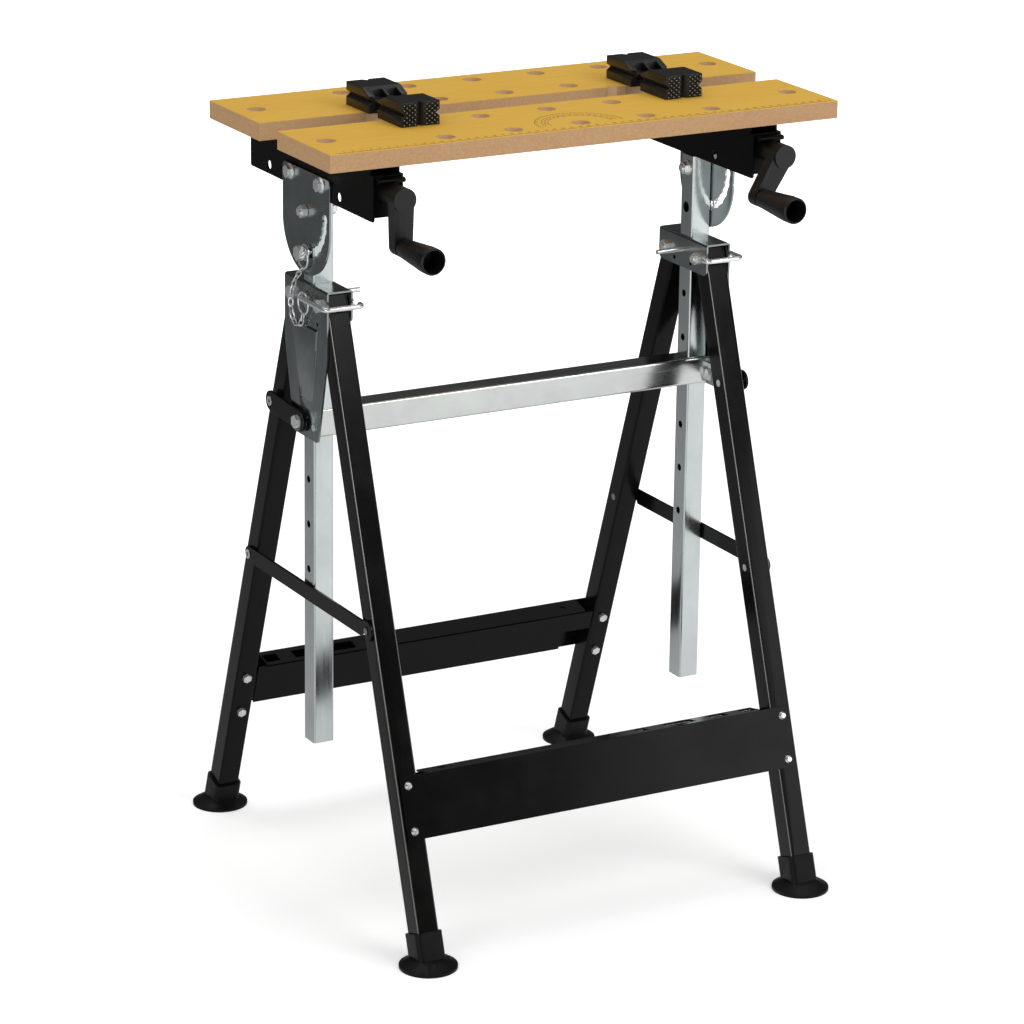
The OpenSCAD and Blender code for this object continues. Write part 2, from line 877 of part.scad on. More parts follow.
module chain_link() {
    rings = 2 * (link_turns + 1);
    points = [for (i = [0:rings - 1], j = [0:link_sides - 1]) link_point(i, j)];
    faces = [for (i = [0:rings - 1], j = [0:link_sides - 1])
        let(n = (i + 1) % rings, k = (j + 1) % link_sides)
        each [[i * link_sides + j, n * link_sides + k, n * link_sides + j],
            [i * link_sides + j, i * link_sides + k, n * link_sides + k]]];
    polyhedron(points = points, faces = faces);
}

module ring(z, mean_r) {
    translate([chain_x, 0, z]) rotate([0, 90, 0]) rotate_extrude() translate([mean_r, 0])
        circle(d = ring_wire);
}

module chain() {
    color(zinc) {
        ring(top_ring_z, top_ring_r);
        ring(pin_ring_z, pin_ring_r);
        for (i = [0:2 * chain_pairs]) {
            middle = end_reach + i * chain_step;
            a = on_hang(max(0, middle - chain_step / 2));
            b = on_hang(min(hang_l, middle + chain_step / 2));
            d = b - a;
            translate((a + b) / 2) rotate([0, acos(d[2] / norm(d)), atan2(d[1], d[0])])
                rotate([0, 0, i % 2 == 0 ? 90 : 0]) rotate([90, 0, 0]) chain_link();
        }
    }
}

module left_chain() {
    to_left() chain();
}

module right_chain() {
    chain();
}

// Lock pin: a rod through bracket and column, bent round to the front in a hook

module pin_bend(x, y, start) {
    translate([x, y, 0]) rotate([0, 0, start]) rotate_extrude(angle = 90)
        translate([pin_bend_r, 0]) circle(d = pin_d);
}

module lock_pin() {
    turn_x = pin_arm_x - pin_bend_r;
    hook_x = pin_hook + pin_bend_r;
    front_y = -pin_front + pin_bend_r;
    color(zinc) translate([0, 0, pin_z]) {
        rod_x(pin_d / 2, pin_tip, turn_x);
        pin_bend(turn_x, -pin_bend_r, 0);
        translate([pin_arm_x, 0, 0]) rod_y(pin_d / 2, front_y, -pin_bend_r);
        pin_bend(turn_x, front_y, -90);
        translate([0, -pin_front, 0]) rod_x(pin_d / 2, hook_x, turn_x);
        pin_bend(hook_x, front_y, 180);
        translate([pin_hook, 0, 0]) rod_y(pin_d / 2, front_y, front_y + pin_hook_end);
    }
}

module left_lock_pin() {
    to_left() lock_pin();
}

module right_lock_pin() {
    lock_pin();
}

// Head bracket: an inverted U of sheet, its outer wall drawn down and stamped with a panel

bracket_w = bracket_out - bracket_in + 2 * bracket_t;
bracket_mid = (bracket_out + bracket_in) / 2;
bend_zone = 5;
corner = 6;
small_hole_r = 2.5;
small_hole_y = -27;
small_hole_down = 38.5;
small_hole_z = bracket_top - small_hole_down;
inner_hole_y = 17;
inner_hole_up = 7.5;
inner_hole_z = inner_plate_z + inner_hole_up;
panel_top = 631;
panel_waist = 608;
panel_shoulder = 553;
panel_foot = 549;
panel_head_half = 29;
panel_waist_half = 26;
panel_shoulder_half = 15.6;
panel_foot_half = 11;

module outer_wall_outline() {
    polygon([[-bracket_half, bracket_top - bend_zone], [-bracket_half, taper_z],
        [-foot_half, bracket_foot + corner], [-foot_half + corner, bracket_foot],
        [foot_half - corner, bracket_foot], [foot_half, bracket_foot + corner],
        [bracket_half, taper_z], [bracket_half, bracket_top - bend_zone]]);
    for (sy = [-1, 1]) {
        translate([sy * (foot_half - corner), bracket_foot + corner]) circle(corner);
    }
}

module inner_wall_outline() {
    translate([-bracket_half, inner_plate_z + corner])
        square([2 * bracket_half, bracket_top - bend_zone - inner_plate_z - corner]);
    translate([-bracket_half + corner, inner_plate_z]) square([2 * (bracket_half - corner), 2 * corner]);
    for (sy = [-1, 1]) {
        translate([sy * (bracket_half - corner), inner_plate_z + corner]) circle(corner);
    }
}

module bend_outline() {
    intersection() {
        difference() {
            translate([bracket_mid, bracket_top - bracket_w / 2]) rounded_rect(bracket_w, bracket_w, bend_r);
            translate([bracket_in, bracket_foot]) square([bracket_out - bracket_in,
                bracket_top - bracket_t - bracket_foot]);
        }
        translate([0, bracket_top - bend_zone]) square([2 * column_x, bend_zone]);
    }
}

// The stamped panel, its edges drawn in by an inset
module panel_outline(inset) {
    head = panel_head_half - inset;
    waist = panel_waist_half - inset;
    shoulder = panel_shoulder_half - inset;
    foot = panel_foot_half - inset;
    polygon([[-head, panel_top - inset], [-waist, panel_waist], [-shoulder, panel_shoulder + inset],
        [-foot, panel_foot + inset], [foot, panel_foot + inset], [shoulder, panel_shoulder + inset],
        [waist, panel_waist], [head, panel_top - inset]]);
}

module panel(x) {
    hull() {
        plate_x(x - seat, x) panel_outline(0);
        plate_x(x + panel_rise - seat, x + panel_rise) panel_outline(panel_rise * panel_draft_share);
    }
}

module bracket_hole(y, z, r) {
    translate([0, y, z]) rod_x(r, bracket_out - over, bracket_out + 2 * bracket_t);
}

module bracket(hook_y) {
    color(zinc) difference() {
        union() {
            translate([0, bracket_half, 0]) rotate([90, 0, 0]) linear_extrude(2 * bracket_half)
                bend_outline();
            plate_x(bracket_out, bracket_out + bracket_t) outer_wall_outline();
            plate_x(bracket_in - bracket_t, bracket_in) inner_wall_outline();
            panel(bracket_out + bracket_t);
        }
        panel(bracket_out);
        translate([column_x - column_w / 2 - slip, -column_w / 2 - slip, bracket_top - bracket_t - over])
            cube([column_w + 2 * slip, column_w + 2 * slip, bracket_t + 2 * over]);
        translate([0, 0, pin_z]) rod_x(pin_d / 2 + running, bracket_in - 2 * bracket_t,
            bracket_out + 2 * bracket_t);
        for (sy = [-1, 1]) {
            translate([0, sy * leg_pivot_y, leg_pivot_z])
                rod_x(pivot_d / 2 + running, bracket_in - 2 * bracket_t, bracket_out + 2 * bracket_t);
            translate([0, sy * inner_hole_y, inner_hole_z])
                rod_x(small_hole_r, bracket_in - 2 * bracket_t, bracket_in + over);
        }
        bracket_hole(small_hole_y, small_hole_z, small_hole_r);
        bracket_hole(crossbar_bolt_y, crossbar_bolt_z, crossbar_bolt_d / 2 + running);
        bracket_hole(hook_y, link_z - link_hook_drop, stud_d / 2 + running);
    }
}

module left_bracket() {
    to_left() bracket(link_hook_y);
}

module right_bracket() {
    bracket(-link_hook_y);
}

// Studs welded in the brackets, that the short links hook over
sleeve_r = 6;
sleeve_out = 1;
hook_head_share = 1.8;

module link_hook_bolt(y) {
    out = link_in + link_t + slip;
    translate([0, y, link_z - link_hook_drop]) {
        rod_x(stud_d / 2, bracket_out, out + seat);
        rod_x(sleeve_r, out, out + sleeve_out);
        translate([out + sleeve_out - seat, 0, 0]) rotate([0, 90, 0])
            cylinder(d = stud_d * hook_head_share, h = head_t, $fn = 6);
    }
}

module link_hook_bolts() {
    color(zinc) link_hook_bolt(-link_hook_y);
    color(zinc) to_left() link_hook_bolt(link_hook_y);
}

// Leg pivot bolts, with their nuts on the inner walls

module leg_pivot_bolts() {
    tip = pivot_d * tip_share;
    color(zinc) for (sx = [-1, 1], sy = [-1, 1]) {
        translate([0, sy * leg_pivot_y, leg_pivot_z]) mirror([sx < 0 ? 1 : 0, 0, 0]) {
            rod_x(pivot_d / 2, bracket_in - bracket_t - tip, bracket_out + bracket_t + seat);
            hex_x(pivot_d, bracket_out + bracket_t, bracket_out + bracket_t + head_t);
        }
    }
}

module leg_pivot_nuts() {
    nut_on = bracket_in - bracket_t;
    color(zinc) for (sx = [-1, 1], sy = [-1, 1]) {
        translate([0, sy * leg_pivot_y, leg_pivot_z]) mirror([sx < 0 ? 1 : 0, 0, 0])
            hex_x(pivot_d, nut_on - pivot_d * nut_share, nut_on, pivot_d / 2 + running);
    }
}

// Crossbar between the brackets, cut out where the columns pass, with a bolted lug at each end
lug_w = 8.5;
lug_h = 20;
lug_t = 2;

module crossbar() {
    color(zinc) difference() {
        union() {
            plate_x(-bracket_out, bracket_out) translate([0, crossbar_z]) difference() {
                rounded_rect(crossbar_w, crossbar_w, corner_r);
                square(crossbar_w - 2 * crossbar_wall, center = true);
            }
            for (sx = [-1, 1]) {
                translate([sx * (bracket_out - lug_t / 2) - lug_t / 2, -crossbar_w / 2 - lug_w,
                    crossbar_bolt_z - lug_h / 2])
                    cube([lug_t, lug_w + crossbar_wall / 2, lug_h]);
            }
        }
        for (sx = [-1, 1]) {
            translate([sx * column_x - column_w / 2 - slip, -column_w / 2 - slip, crossbar_z - crossbar_w])
                cube([column_w + 2 * slip, column_w + 2 * slip, 2 * crossbar_w]);
            translate([0, crossbar_bolt_y, crossbar_bolt_z]) mirror([sx < 0 ? 1 : 0, 0, 0])
                rod_x(crossbar_bolt_d / 2 + running, bracket_out - 2 * lug_t, bracket_out + over);
        }
    }
}

module crossbar_bolt() {
    nut_on = bracket_out - lug_t;
    head_on = bracket_out + bracket_t;
    translate([0, crossbar_bolt_y, crossbar_bolt_z]) {
        rod_x(crossbar_bolt_d / 2, nut_on - crossbar_bolt_d * nut_share, head_on + seat);
        rod_x(crossbar_bolt_d * nut_share, head_on, head_on + low_head_t);
        hex_x(crossbar_bolt_d, nut_on - crossbar_bolt_d * nut_share, nut_on, crossbar_bolt_d / 2 + running);
    }
}

module crossbar_bolts() {
    color(zinc) crossbar_bolt();
    color(zinc) to_left() crossbar_bolt();
}

// Legs, drawn in the rear leg's own frame

module leg(with_link) {
    color(black) on_leg() difference() {
        translate([column_x, 0, 0]) tube_z(leg_w, leg_wall, -leg_l + leg_end, leg_top);
        rod_x(pivot_d / 2 + running, column_x - leg_w, column_x + leg_w);
        translate([0, 0, -strap_s]) rod_x(stud_d / 2 + running, column_x - leg_w, column_x + leg_w);
        if (with_link) {
            translate([0, 0, -link_s]) rod_x(stud_d / 2 + running, column_x - leg_w, column_x + leg_w);
        }
        for (s = [bolt_s1, bolt_s2]) {
            translate([column_x, 0, -s]) rod_y(stretcher_bolt_d / 2 + running, -leg_w, leg_w);
        }
    }
}

module rear_right_leg() {
    leg(false);
}

module rear_left_leg() {
    to_left() leg(true);
}

module front_left_leg() {
    turned() rear_right_leg();
}

module front_right_leg() {
    turned() rear_left_leg();
}

// Stretcher: a web across the legs' outer faces, a flange turned in and a lip turned down behind it
web_half = 238;
flange_half = 205;
lip_half = 215;
notch_x = 178;
flange_hole_x = 181;
flange_hole_r = 4;
flange_rise = 6.5;
flange_l = 26;
flange_slots = [[55, 67], [91, 126], [147, 167], [186, 203]];
flange_slot_w = 15;

module stretcher() {
    out = leg_w / 2;
    color(black) on_leg() difference() {
        union() {
            translate([-web_half, out, -stretcher_top - web_h]) cube([2 * web_half, sheet_t, web_h]);
            translate([-flange_half, out + sheet_t, -stretcher_top - sheet_t]) rotate([-flange_rise, 0, 0])
                translate([0, -flange_l, 0]) cube([2 * flange_half, flange_l, sheet_t]);
            translate([-lip_half, -out, -stretcher_top - lip_h]) cube([2 * lip_half, sheet_t, lip_h]);
        }
        translate([notch_x, -out - over, -stretcher_top - lip_h - over])
            cube([lip_half - notch_x + over, sheet_t + 2 * over, notch_h + over]);
        translate([flange_hole_x, 0, -stretcher_top - 2 * sheet_t]) cylinder(r = flange_hole_r,
            h = 4 * sheet_t);
        for (slot = flange_slots) {
            translate([-slot[1], -flange_slot_w / 2, -stretcher_top - 2 * sheet_t])
                cube([slot[1] - slot[0], flange_slot_w, 4 * sheet_t]);
        }
        for (sx = [-1, 1], s = [bolt_s1, bolt_s2]) {
            translate([sx * column_x, 0, -s]) rod_y(stretcher_bolt_d / 2 + running, 0, leg_w);
        }
    }
}

module rear_stretcher() {
    stretcher();
}

module front_stretcher() {
    turned() stretcher();
}

// Bolts through web and leg: round heads outside on the rear, small domes on the front
round_head_r = 7.5;
small_head_r = 4.5;
head_flat_share = 0.6;

module stretcher_bolts(head_r) {
    out = leg_w / 2 + sheet_t;
    nut_t = stretcher_bolt_d * nut_share;
    color(zinc) on_leg() for (sx = [-1, 1], s = [bolt_s1, bolt_s2]) {
        translate([sx * column_x, 0, -s]) {
            rod_y(stretcher_bolt_d / 2, -leg_w / 2 - nut_t, out + seat);
            translate([0, out, 0]) rotate([-90, 0, 0])
                cylinder(r1 = head_r, r2 = head_r * head_flat_share, h = stretcher_bolt_d / 2);
            rotate([0, 0, 90]) hex_x(stretcher_bolt_d, -leg_w / 2 - nut_t, -leg_w / 2,
                stretcher_bolt_d / 2 + running);
        }
    }
}

module rear_stretcher_bolts() {
    stretcher_bolts(round_head_r);
}

module front_stretcher_bolts() {
    turned() stretcher_bolts(small_head_r);
}

// Studs and rivets of the braces: a hook stud on one leg, a strap rivet and a link rivet on the other
rivet_head_r = 5.2;
rivet_head_t = 1.2;
rivet_bore_r = 2.5;
rivet_bore_l = 10;
hook_stud_past = 1;

// A tubular rivet through the leg, its head on the brace
module rivet(s, out) {
    translate([0, 0, -s]) difference() {
        union() {
            rod_x(stud_d / 2, column_x - leg_w / 2, out + slip + seat);
            rod_x(rivet_head_r, out + slip, out + slip + rivet_head_t);
        }
        rod_x(rivet_bore_r, out + rivet_head_t - rivet_bore_l, out + rivet_head_t + over);
    }
}

module rear_leg_studs() {
    color(zinc) on_leg() {
        translate([0, 0, -strap_s])
            rod_x(stud_d / 2, column_x - leg_w / 2, strap_in + strap_t + hook_stud_past);
        to_left() rivet(strap_s, strap_in + strap_t);
        to_left() rivet(link_s, link_in + link_t);
    }
}

module front_leg_studs() {
    turned() rear_leg_studs();
}

// Feet: a rubber boot over each leg's end, flared to the floor

module foot() {
    color(plastic) difference() {
        union() {
            translate([column_x, foot_y, 0]) cylinder(r = sole_r, h = sole_t);
            translate([column_x, foot_y, sole_t - seat]) cylinder(r1 = sole_r,
                r2 = sleeve_w / 2 + sheet_t, h = flare_h);
            on_leg() translate([column_x, 0, -leg_l + sleeve_lift]) linear_extrude(sleeve_l)
                rounded_rect(sleeve_w, sleeve_w, corner_r + sleeve_wall);
        }
        on_leg() translate([column_x, 0, -leg_l + leg_end - seat]) linear_extrude(2 * sleeve_l)
            rounded_rect(leg_w + 2 * seat, leg_w + 2 * seat, corner_r);
    }
}

module rear_right_foot() {
    foot();
}

module rear_left_foot() {
    to_left() foot();
}

module front_left_foot() {
    turned() foot();
}

module front_right_foot() {
    turned() rear_left_foot();
}

// Braces: a flat bar from its rivet to a hook that lifts off its stud as the legs fold

module brace(eye_y, eye_z, hook_y, hook_z, w, slant, slot_half) {
    reach = norm([hook_y - eye_y, hook_z - eye_z]);
    lean = atan2(hook_z - eye_z, hook_y - eye_y);
    difference() {
        union() {
            translate([eye_y, eye_z]) rotate(lean) translate([0, -w / 2]) square([reach, w]);
            translate([eye_y, eye_z]) circle(w / 2);
            translate([hook_y, hook_z]) circle(hook_r);
        }
        translate([eye_y, eye_z]) circle(stud_d / 2 + running);
        translate([hook_y, hook_z]) circle(slot_half);
        translate([hook_y, hook_z]) rotate(slant) translate([-slot_half, -2 * hook_r])
            square([2 * slot_half, 2 * hook_r]);
    }
}

module left_strap() {
    color(black) to_left() plate_x(strap_in, strap_in + strap_t)
        brace(strap_y, strap_z, -strap_y, strap_z, strap_w, strap_slant, hook_slot_half);
}

module right_strap() {
    turned() left_strap();
}

module left_link() {
    color(black) to_left() plate_x(link_in, link_in + link_t)
        brace(link_y, link_z, link_hook_y, link_z - link_hook_drop, link_w, link_slant, hook_slot_half);
}

module right_link() {
    turned() left_link();
}

front_board();
rear_board();
left_beam();
right_beam();
front_end_plates();
rear_end_plates();
front_saddles();
front_saddle_screws();
left_nut_carrier();
right_nut_carrier();
rear_saddle_screws();
left_spindle();
right_spindle();
left_crank();
right_crank();
left_grip();
right_grip();
front_left_dog();
front_right_dog();
rear_left_dog();
rear_right_dog();
left_tilt_plate();
right_tilt_plate();
tilt_plate_bolts();
tilt_pivot_bolts();
tilt_lock_bolts();
left_column();
right_column();
left_chain();
right_chain();
left_lock_pin();
right_lock_pin();
left_bracket();
right_bracket();
crossbar();
crossbar_bolts();
leg_pivot_bolts();
leg_pivot_nuts();
link_hook_bolts();
front_left_leg();
front_right_leg();
rear_left_leg();
rear_right_leg();
front_stretcher();
rear_stretcher();
front_stretcher_bolts();
rear_stretcher_bolts();
front_leg_studs();
rear_leg_studs();
front_left_foot();
front_right_foot();
rear_left_foot();
rear_right_foot();
left_strap();
right_strap();
left_link();
right_link();
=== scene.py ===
# %% [markdown]
# # A folding workbench
# The bench has been modelled in CAD with true sizes, and packed as one mesh for each separate piece.
# This lesson dresses those pieces: it softens their edges, prints the ruler on the board,
# knurls the bench dogs, gives every surface a procedural material, and lights the whole
# like a catalogue photograph. Nothing is moved, because the CAD places are right already.

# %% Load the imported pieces
import json
import math
import bmesh
import bpy
from mathutils import Matrix, Vector


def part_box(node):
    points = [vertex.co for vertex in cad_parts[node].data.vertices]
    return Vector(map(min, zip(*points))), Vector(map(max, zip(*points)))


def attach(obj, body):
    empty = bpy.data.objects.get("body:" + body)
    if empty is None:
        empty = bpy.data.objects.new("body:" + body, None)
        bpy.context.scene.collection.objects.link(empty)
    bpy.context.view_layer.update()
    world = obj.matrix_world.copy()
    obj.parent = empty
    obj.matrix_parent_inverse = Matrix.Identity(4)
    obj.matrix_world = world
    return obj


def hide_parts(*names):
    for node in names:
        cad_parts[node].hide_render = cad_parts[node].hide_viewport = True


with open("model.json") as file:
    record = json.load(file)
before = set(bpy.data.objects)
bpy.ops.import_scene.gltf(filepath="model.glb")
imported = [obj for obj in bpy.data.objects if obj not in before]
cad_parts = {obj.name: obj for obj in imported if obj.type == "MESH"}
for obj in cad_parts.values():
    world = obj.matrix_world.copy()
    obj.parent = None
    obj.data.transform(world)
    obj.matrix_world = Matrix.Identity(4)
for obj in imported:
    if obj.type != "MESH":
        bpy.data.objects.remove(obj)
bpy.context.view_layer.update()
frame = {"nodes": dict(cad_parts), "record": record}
bodies = {n: b for b, members in frame["record"]["behaviour"]["bodies"].items() for n in members}
MM = 0.001

# %% [markdown]
# ## A camera that stands where the photographer stood
# The photograph was taken with a long lens from the front left, a little above the table.
# Yaw, pitch and roll were worked out from edges whose real lengths are known,
# and the lens follows from the focal length in pixels: 36 mm times that, over the picture's width.

# %% Camera
CAMERA_AT = Vector((-2.0717, -3.7393, 1.7665))
YAW, PITCH, ROLL = math.radians(29.05), math.radians(17.85), math.radians(0.79)
FOCAL_PIXELS, PICTURE = 4125.5, 1024.0

forward = Vector((math.sin(YAW) * math.cos(PITCH), math.cos(YAW) * math.cos(PITCH), -math.sin(PITCH)))
level_right = Vector((math.cos(YAW), -math.sin(YAW), 0.0))
level_up = level_right.cross(forward)
right = level_right * math.cos(ROLL) + level_up * math.sin(ROLL)
up = level_up * math.cos(ROLL) - level_right * math.sin(ROLL)

camera = bpy.data.objects.new("camera", bpy.data.cameras.new("camera"))
bpy.context.scene.collection.objects.link(camera)
camera.matrix_world = Matrix.Translation(CAMERA_AT) @ Matrix((right, up, -forward)).transposed().to_4x4()
camera.data.lens = 36.0 * FOCAL_PIXELS / PICTURE
camera.data.clip_end = 60.0
bpy.context.scene.camera = camera
print("lens", round(camera.data.lens, 1), "mm")

# %% [markdown]
# ## Small tools for building materials
# A procedural material is a graph of nodes. These helpers add a node, set its sockets and join it,
# so that each material below reads like a recipe. A shared effect is a node group
# with named inputs and outputs, made once and placed in each material with its own values.

# %% Node helpers
def add(tree, kind, **values):
    node = tree.nodes.new(kind)
    for name, value in values.items():
        setattr(node, name, value)
    return node


def join(tree, out_socket, in_socket):
    tree.links.new(out_socket, in_socket)


def feed(tree, value, in_socket):
    if isinstance(value, bpy.types.NodeSocket):
        tree.links.new(value, in_socket)
    else:
        in_socket.default_value = value


def put(tree, node, name, value):
    feed(tree, value, node.inputs[name])


def noise(tree, vector, scale, detail=3.0, rough=0.55):
    node = add(tree, "ShaderNodeTexNoise")
    put(tree, node, "Vector", vector)
    put(tree, node, "Scale", scale)
    put(tree, node, "Detail", detail)
    put(tree, node, "Roughness", rough)
    return node.outputs["Fac"]


def stretch(tree, vector, factors):
    node = add(tree, "ShaderNodeMapping")
    put(tree, node, "Vector", vector)
    put(tree, node, "Scale", factors)
    return node.outputs["Vector"]


def calc(tree, operation, a, b=0.0):
    node = add(tree, "ShaderNodeMath", operation=operation)
    feed(tree, a, node.inputs[0])
    feed(tree, b, node.inputs[1])
    return node.outputs[0]


def spread(tree, value, low, high, to_low=0.0, to_high=1.0):
    node = add(tree, "ShaderNodeMapRange", clamp=True)
    put(tree, node, "Value", value)
    put(tree, node, "From Min", low)
    put(tree, node, "From Max", high)
    put(tree, node, "To Min", to_low)
    put(tree, node, "To Max", to_high)
    return node.outputs["Result"]


# A Mix node has sockets for every kind of data: 2 and 3 take plain values, 6 and 7 take colours.
def blend_value(tree, factor, a, b):
    node = add(tree, "ShaderNodeMix", data_type="FLOAT")
    for socket, value in ((0, factor), (2, a), (3, b)):
        feed(tree, value, node.inputs[socket])
    return node.outputs[0]


def blend_colour(tree, factor, a, b):
    node = add(tree, "ShaderNodeMix", data_type="RGBA")
    for socket, value in ((0, factor), (6, a), (7, b)):
        feed(tree, value, node.inputs[socket])
    return node.outputs[2]


def colour(r, g, b):
    return (r, g, b, 1.0)


def new_group(name, inputs, outputs):
    group = bpy.data.node_groups.new(name, "ShaderNodeTree")
    for label, kind, value in inputs:
        socket = group.interface.new_socket(label, in_out="INPUT", socket_type=kind)
        if value is not None:
            socket.default_value = value
    for label, kind in outputs:
        group.interface.new_socket(label, in_out="OUTPUT", socket_type=kind)
    return group, add(group, "NodeGroupInput"), add(group, "NodeGroupOutput")


def use_group(tree, group, **values):
    node = add(tree, "ShaderNodeGroup", node_tree=group)
    for name, value in values.items():
        put(tree, node, name.replace("_", " "), value)
    return node


def new_material(name, **plain):
    material = bpy.data.materials.new(name)
    material.use_nodes = True
    tree = material.node_tree
    shader = tree.nodes["Principled BSDF"]
    for key, value in plain.items():
        shader.inputs[key.replace("_", " ")].default_value = value
    where = add(tree, "ShaderNodeTexCoord").outputs["Object"]
    return material, tree, shader, where


def bump(tree, shader, height, strength, depth):
    node = add(tree, "ShaderNodeBump")
    put(tree, node, "Strength", strength)
    put(tree, node, "Distance", depth)
    put(tree, node, "Height", height)
    join(tree, node.outputs["Normal"], shader.inputs["Normal"])


print("helpers ready")

# %% [markdown]
# ## Effects that several finishes share
# Powder paint has a fine orange peel and faint scuffs. Sheet steel carries long rolling streaks
# and cloudy patches in its zinc. Both could be painted images, but noise stretched along the
# metal needs no file and stays sharp at any distance.

# %% Shared effect groups
peel_group, g_in, g_out = new_group(
    "orange_peel",
    [("Vector", "NodeSocketVector", None), ("Grain", "NodeSocketFloat", 900.0)],
    [("Height", "NodeSocketFloat"), ("Scuffs", "NodeSocketFloat")])
fine = noise(peel_group, g_in.outputs["Vector"], g_in.outputs["Grain"], 2.0)
broad = noise(peel_group, g_in.outputs["Vector"], 14.0, 5.0, 0.62)
join(peel_group, fine, g_out.inputs["Height"])
join(peel_group, spread(peel_group, broad, 0.44, 0.72), g_out.inputs["Scuffs"])

streak_group, g_in, g_out = new_group(
    "rolled_streaks",
    [("Vector", "NodeSocketVector", None), ("Along", "NodeSocketVector", None),
     ("Grain", "NodeSocketFloat", 160.0)],
    [("Streaks", "NodeSocketFloat"), ("Clouds", "NodeSocketFloat")])
node = add(streak_group, "ShaderNodeVectorMath", operation="MULTIPLY")
join(streak_group, g_in.outputs["Vector"], node.inputs[0])
join(streak_group, g_in.outputs["Along"], node.inputs[1])
streaks = noise(streak_group, node.outputs[0], g_in.outputs["Grain"], 4.0, 0.6)
clouds = noise(streak_group, g_in.outputs["Vector"], 22.0, 4.0, 0.6)
join(streak_group, streaks, g_out.inputs["Streaks"])
join(streak_group, clouds, g_out.inputs["Clouds"])
print("groups", [g.name for g in bpy.data.node_groups])

# %% [markdown]
# ## The boards: a yellow laminate over bare fibreboard
# The real boards are medium-density fibreboard with a printed, wood-look laminate on top only.
# One material does both: the height in the object's frame tells the top from the cut edges
# and the hole walls. Inside the board's outline the core is painted paler: painted light that lifts the shade on
# the hole walls.
# The laminate has faint grain along the board, and the core has fine speckles.

# %% Board material
LAMINATE_FROM = 0.8504                    # height in metres above which a face is laminate
HALF_LENGTH, HALF_DEPTH = 0.2970, 0.0595  # just inside a board's sawn edges
BOARD_MIDDLES = (-0.1071, 0.0558)         # Y of the front and the rear board's middle

board_material, tree, shader, where = new_material("laminated_fibreboard", Specular_IOR_Level=0.25)
split = add(tree, "ShaderNodeSeparateXYZ")
join(tree, where, split.inputs[0])
top_mask = calc(tree, "GREATER_THAN", split.outputs["Z"], LAMINATE_FROM)

grain = noise(tree, stretch(tree, where, (1.0, 14.0, 1.0)), 26.0, 6.0, 0.62)
fibres = noise(tree, stretch(tree, where, (1.0, 40.0, 1.0)), 70.0, 3.0, 0.6)
patches = noise(tree, stretch(tree, where, (1.0, 3.0, 1.0)), 5.0, 3.0)
golden = blend_colour(tree, spread(tree, grain, 0.32, 0.70),
                      colour(0.73, 0.435, 0.064), colour(0.665, 0.375, 0.048))
golden = blend_colour(tree, spread(tree, fibres, 0.50, 0.78, 0.0, 0.22), golden, colour(0.55, 0.29, 0.04))
golden = blend_colour(tree, spread(tree, patches, 0.35, 0.70, 0.0, 0.30), golden, colour(0.78, 0.49, 0.085))

speckle = noise(tree, where, 1500.0, 2.0, 0.7)
mottle = noise(tree, where, 420.0, 4.0, 0.7)
in_length = calc(tree, "LESS_THAN", calc(tree, "ABSOLUTE", split.outputs["X"]), HALF_LENGTH)
in_depth = []
for middle in BOARD_MIDDLES:
    away = calc(tree, "ABSOLUTE", calc(tree, "SUBTRACT", split.outputs["Y"], middle))
    in_depth.append(calc(tree, "LESS_THAN", away, HALF_DEPTH))
# painted light: inside the board's outline, so on the hole walls, the core is painted paler
painted_hole_light = calc(tree, "MULTIPLY", in_length, calc(tree, "MAXIMUM", *in_depth))
core = blend_colour(tree, spread(tree, mottle, 0.35, 0.68),
                    colour(0.54, 0.335, 0.175), colour(0.45, 0.265, 0.13))
core = blend_colour(tree, spread(tree, speckle, 0.56, 0.74, 0.0, 0.50), core, colour(0.30, 0.17, 0.085))
# the painted light on the hole walls, paler than the sawn edges
core = blend_colour(tree, calc(tree, "MULTIPLY", painted_hole_light, 0.75), core, colour(0.68, 0.46, 0.27))
join(tree, blend_colour(tree, top_mask, core, golden), shader.inputs["Base Color"])
roughness = blend_value(tree, top_mask, 0.92, spread(tree, grain, 0.3, 0.7, 0.40, 0.52))
join(tree, roughness, shader.inputs["Roughness"])
relief = blend_value(tree, top_mask, speckle, calc(tree, "MULTIPLY", fibres, 0.25))
bump(tree, shader, relief, 0.35, 0.0003)
print("made", board_material.name)

# %% [markdown]
# ## Painted steel, moulded plastic and rubber
# These three blacks differ in how they take the light: the powder paint is satin with an orange peel,
# the moulded plastic is duller with a fine spark-eroded grain, and the rubber is duller still.
# So each one gets its own roughness and bump, and almost the same colour. Along the rounded corners
# of the front legs a highlight is painted in: those narrow faces get a lighter, glossier edge paint,
# its coat strongest near the top and fading out towards the floor.

# %% Black finishes
def painted_steel(name, dark, light, rough, shine):
    material, tree, shader, where = new_material(name, Specular_IOR_Level=shine)
    peel = use_group(tree, peel_group, Vector=where, Grain=1100.0)
    join(tree, blend_colour(tree, peel.outputs["Scuffs"], dark, light), shader.inputs["Base Color"])
    join(tree, spread(tree, peel.outputs["Scuffs"], 0.0, 1.0, rough, rough + 0.09), shader.inputs["Roughness"])
    bump(tree, shader, peel.outputs["Height"], 0.05, 0.00006)
    return material


def moulded(name, dark, light, rough, grain, depth, shine):
    material, tree, shader, where = new_material(name, Specular_IOR_Level=shine)
    peel = use_group(tree, peel_group, Vector=where, Grain=grain)
    join(tree, blend_colour(tree, peel.outputs["Scuffs"], dark, light), shader.inputs["Base Color"])
    join(tree, spread(tree, peel.outputs["Height"], 0.3, 0.7, rough, rough + 0.12), shader.inputs["Roughness"])
    bump(tree, shader, peel.outputs["Height"], 0.35, depth)
    return material


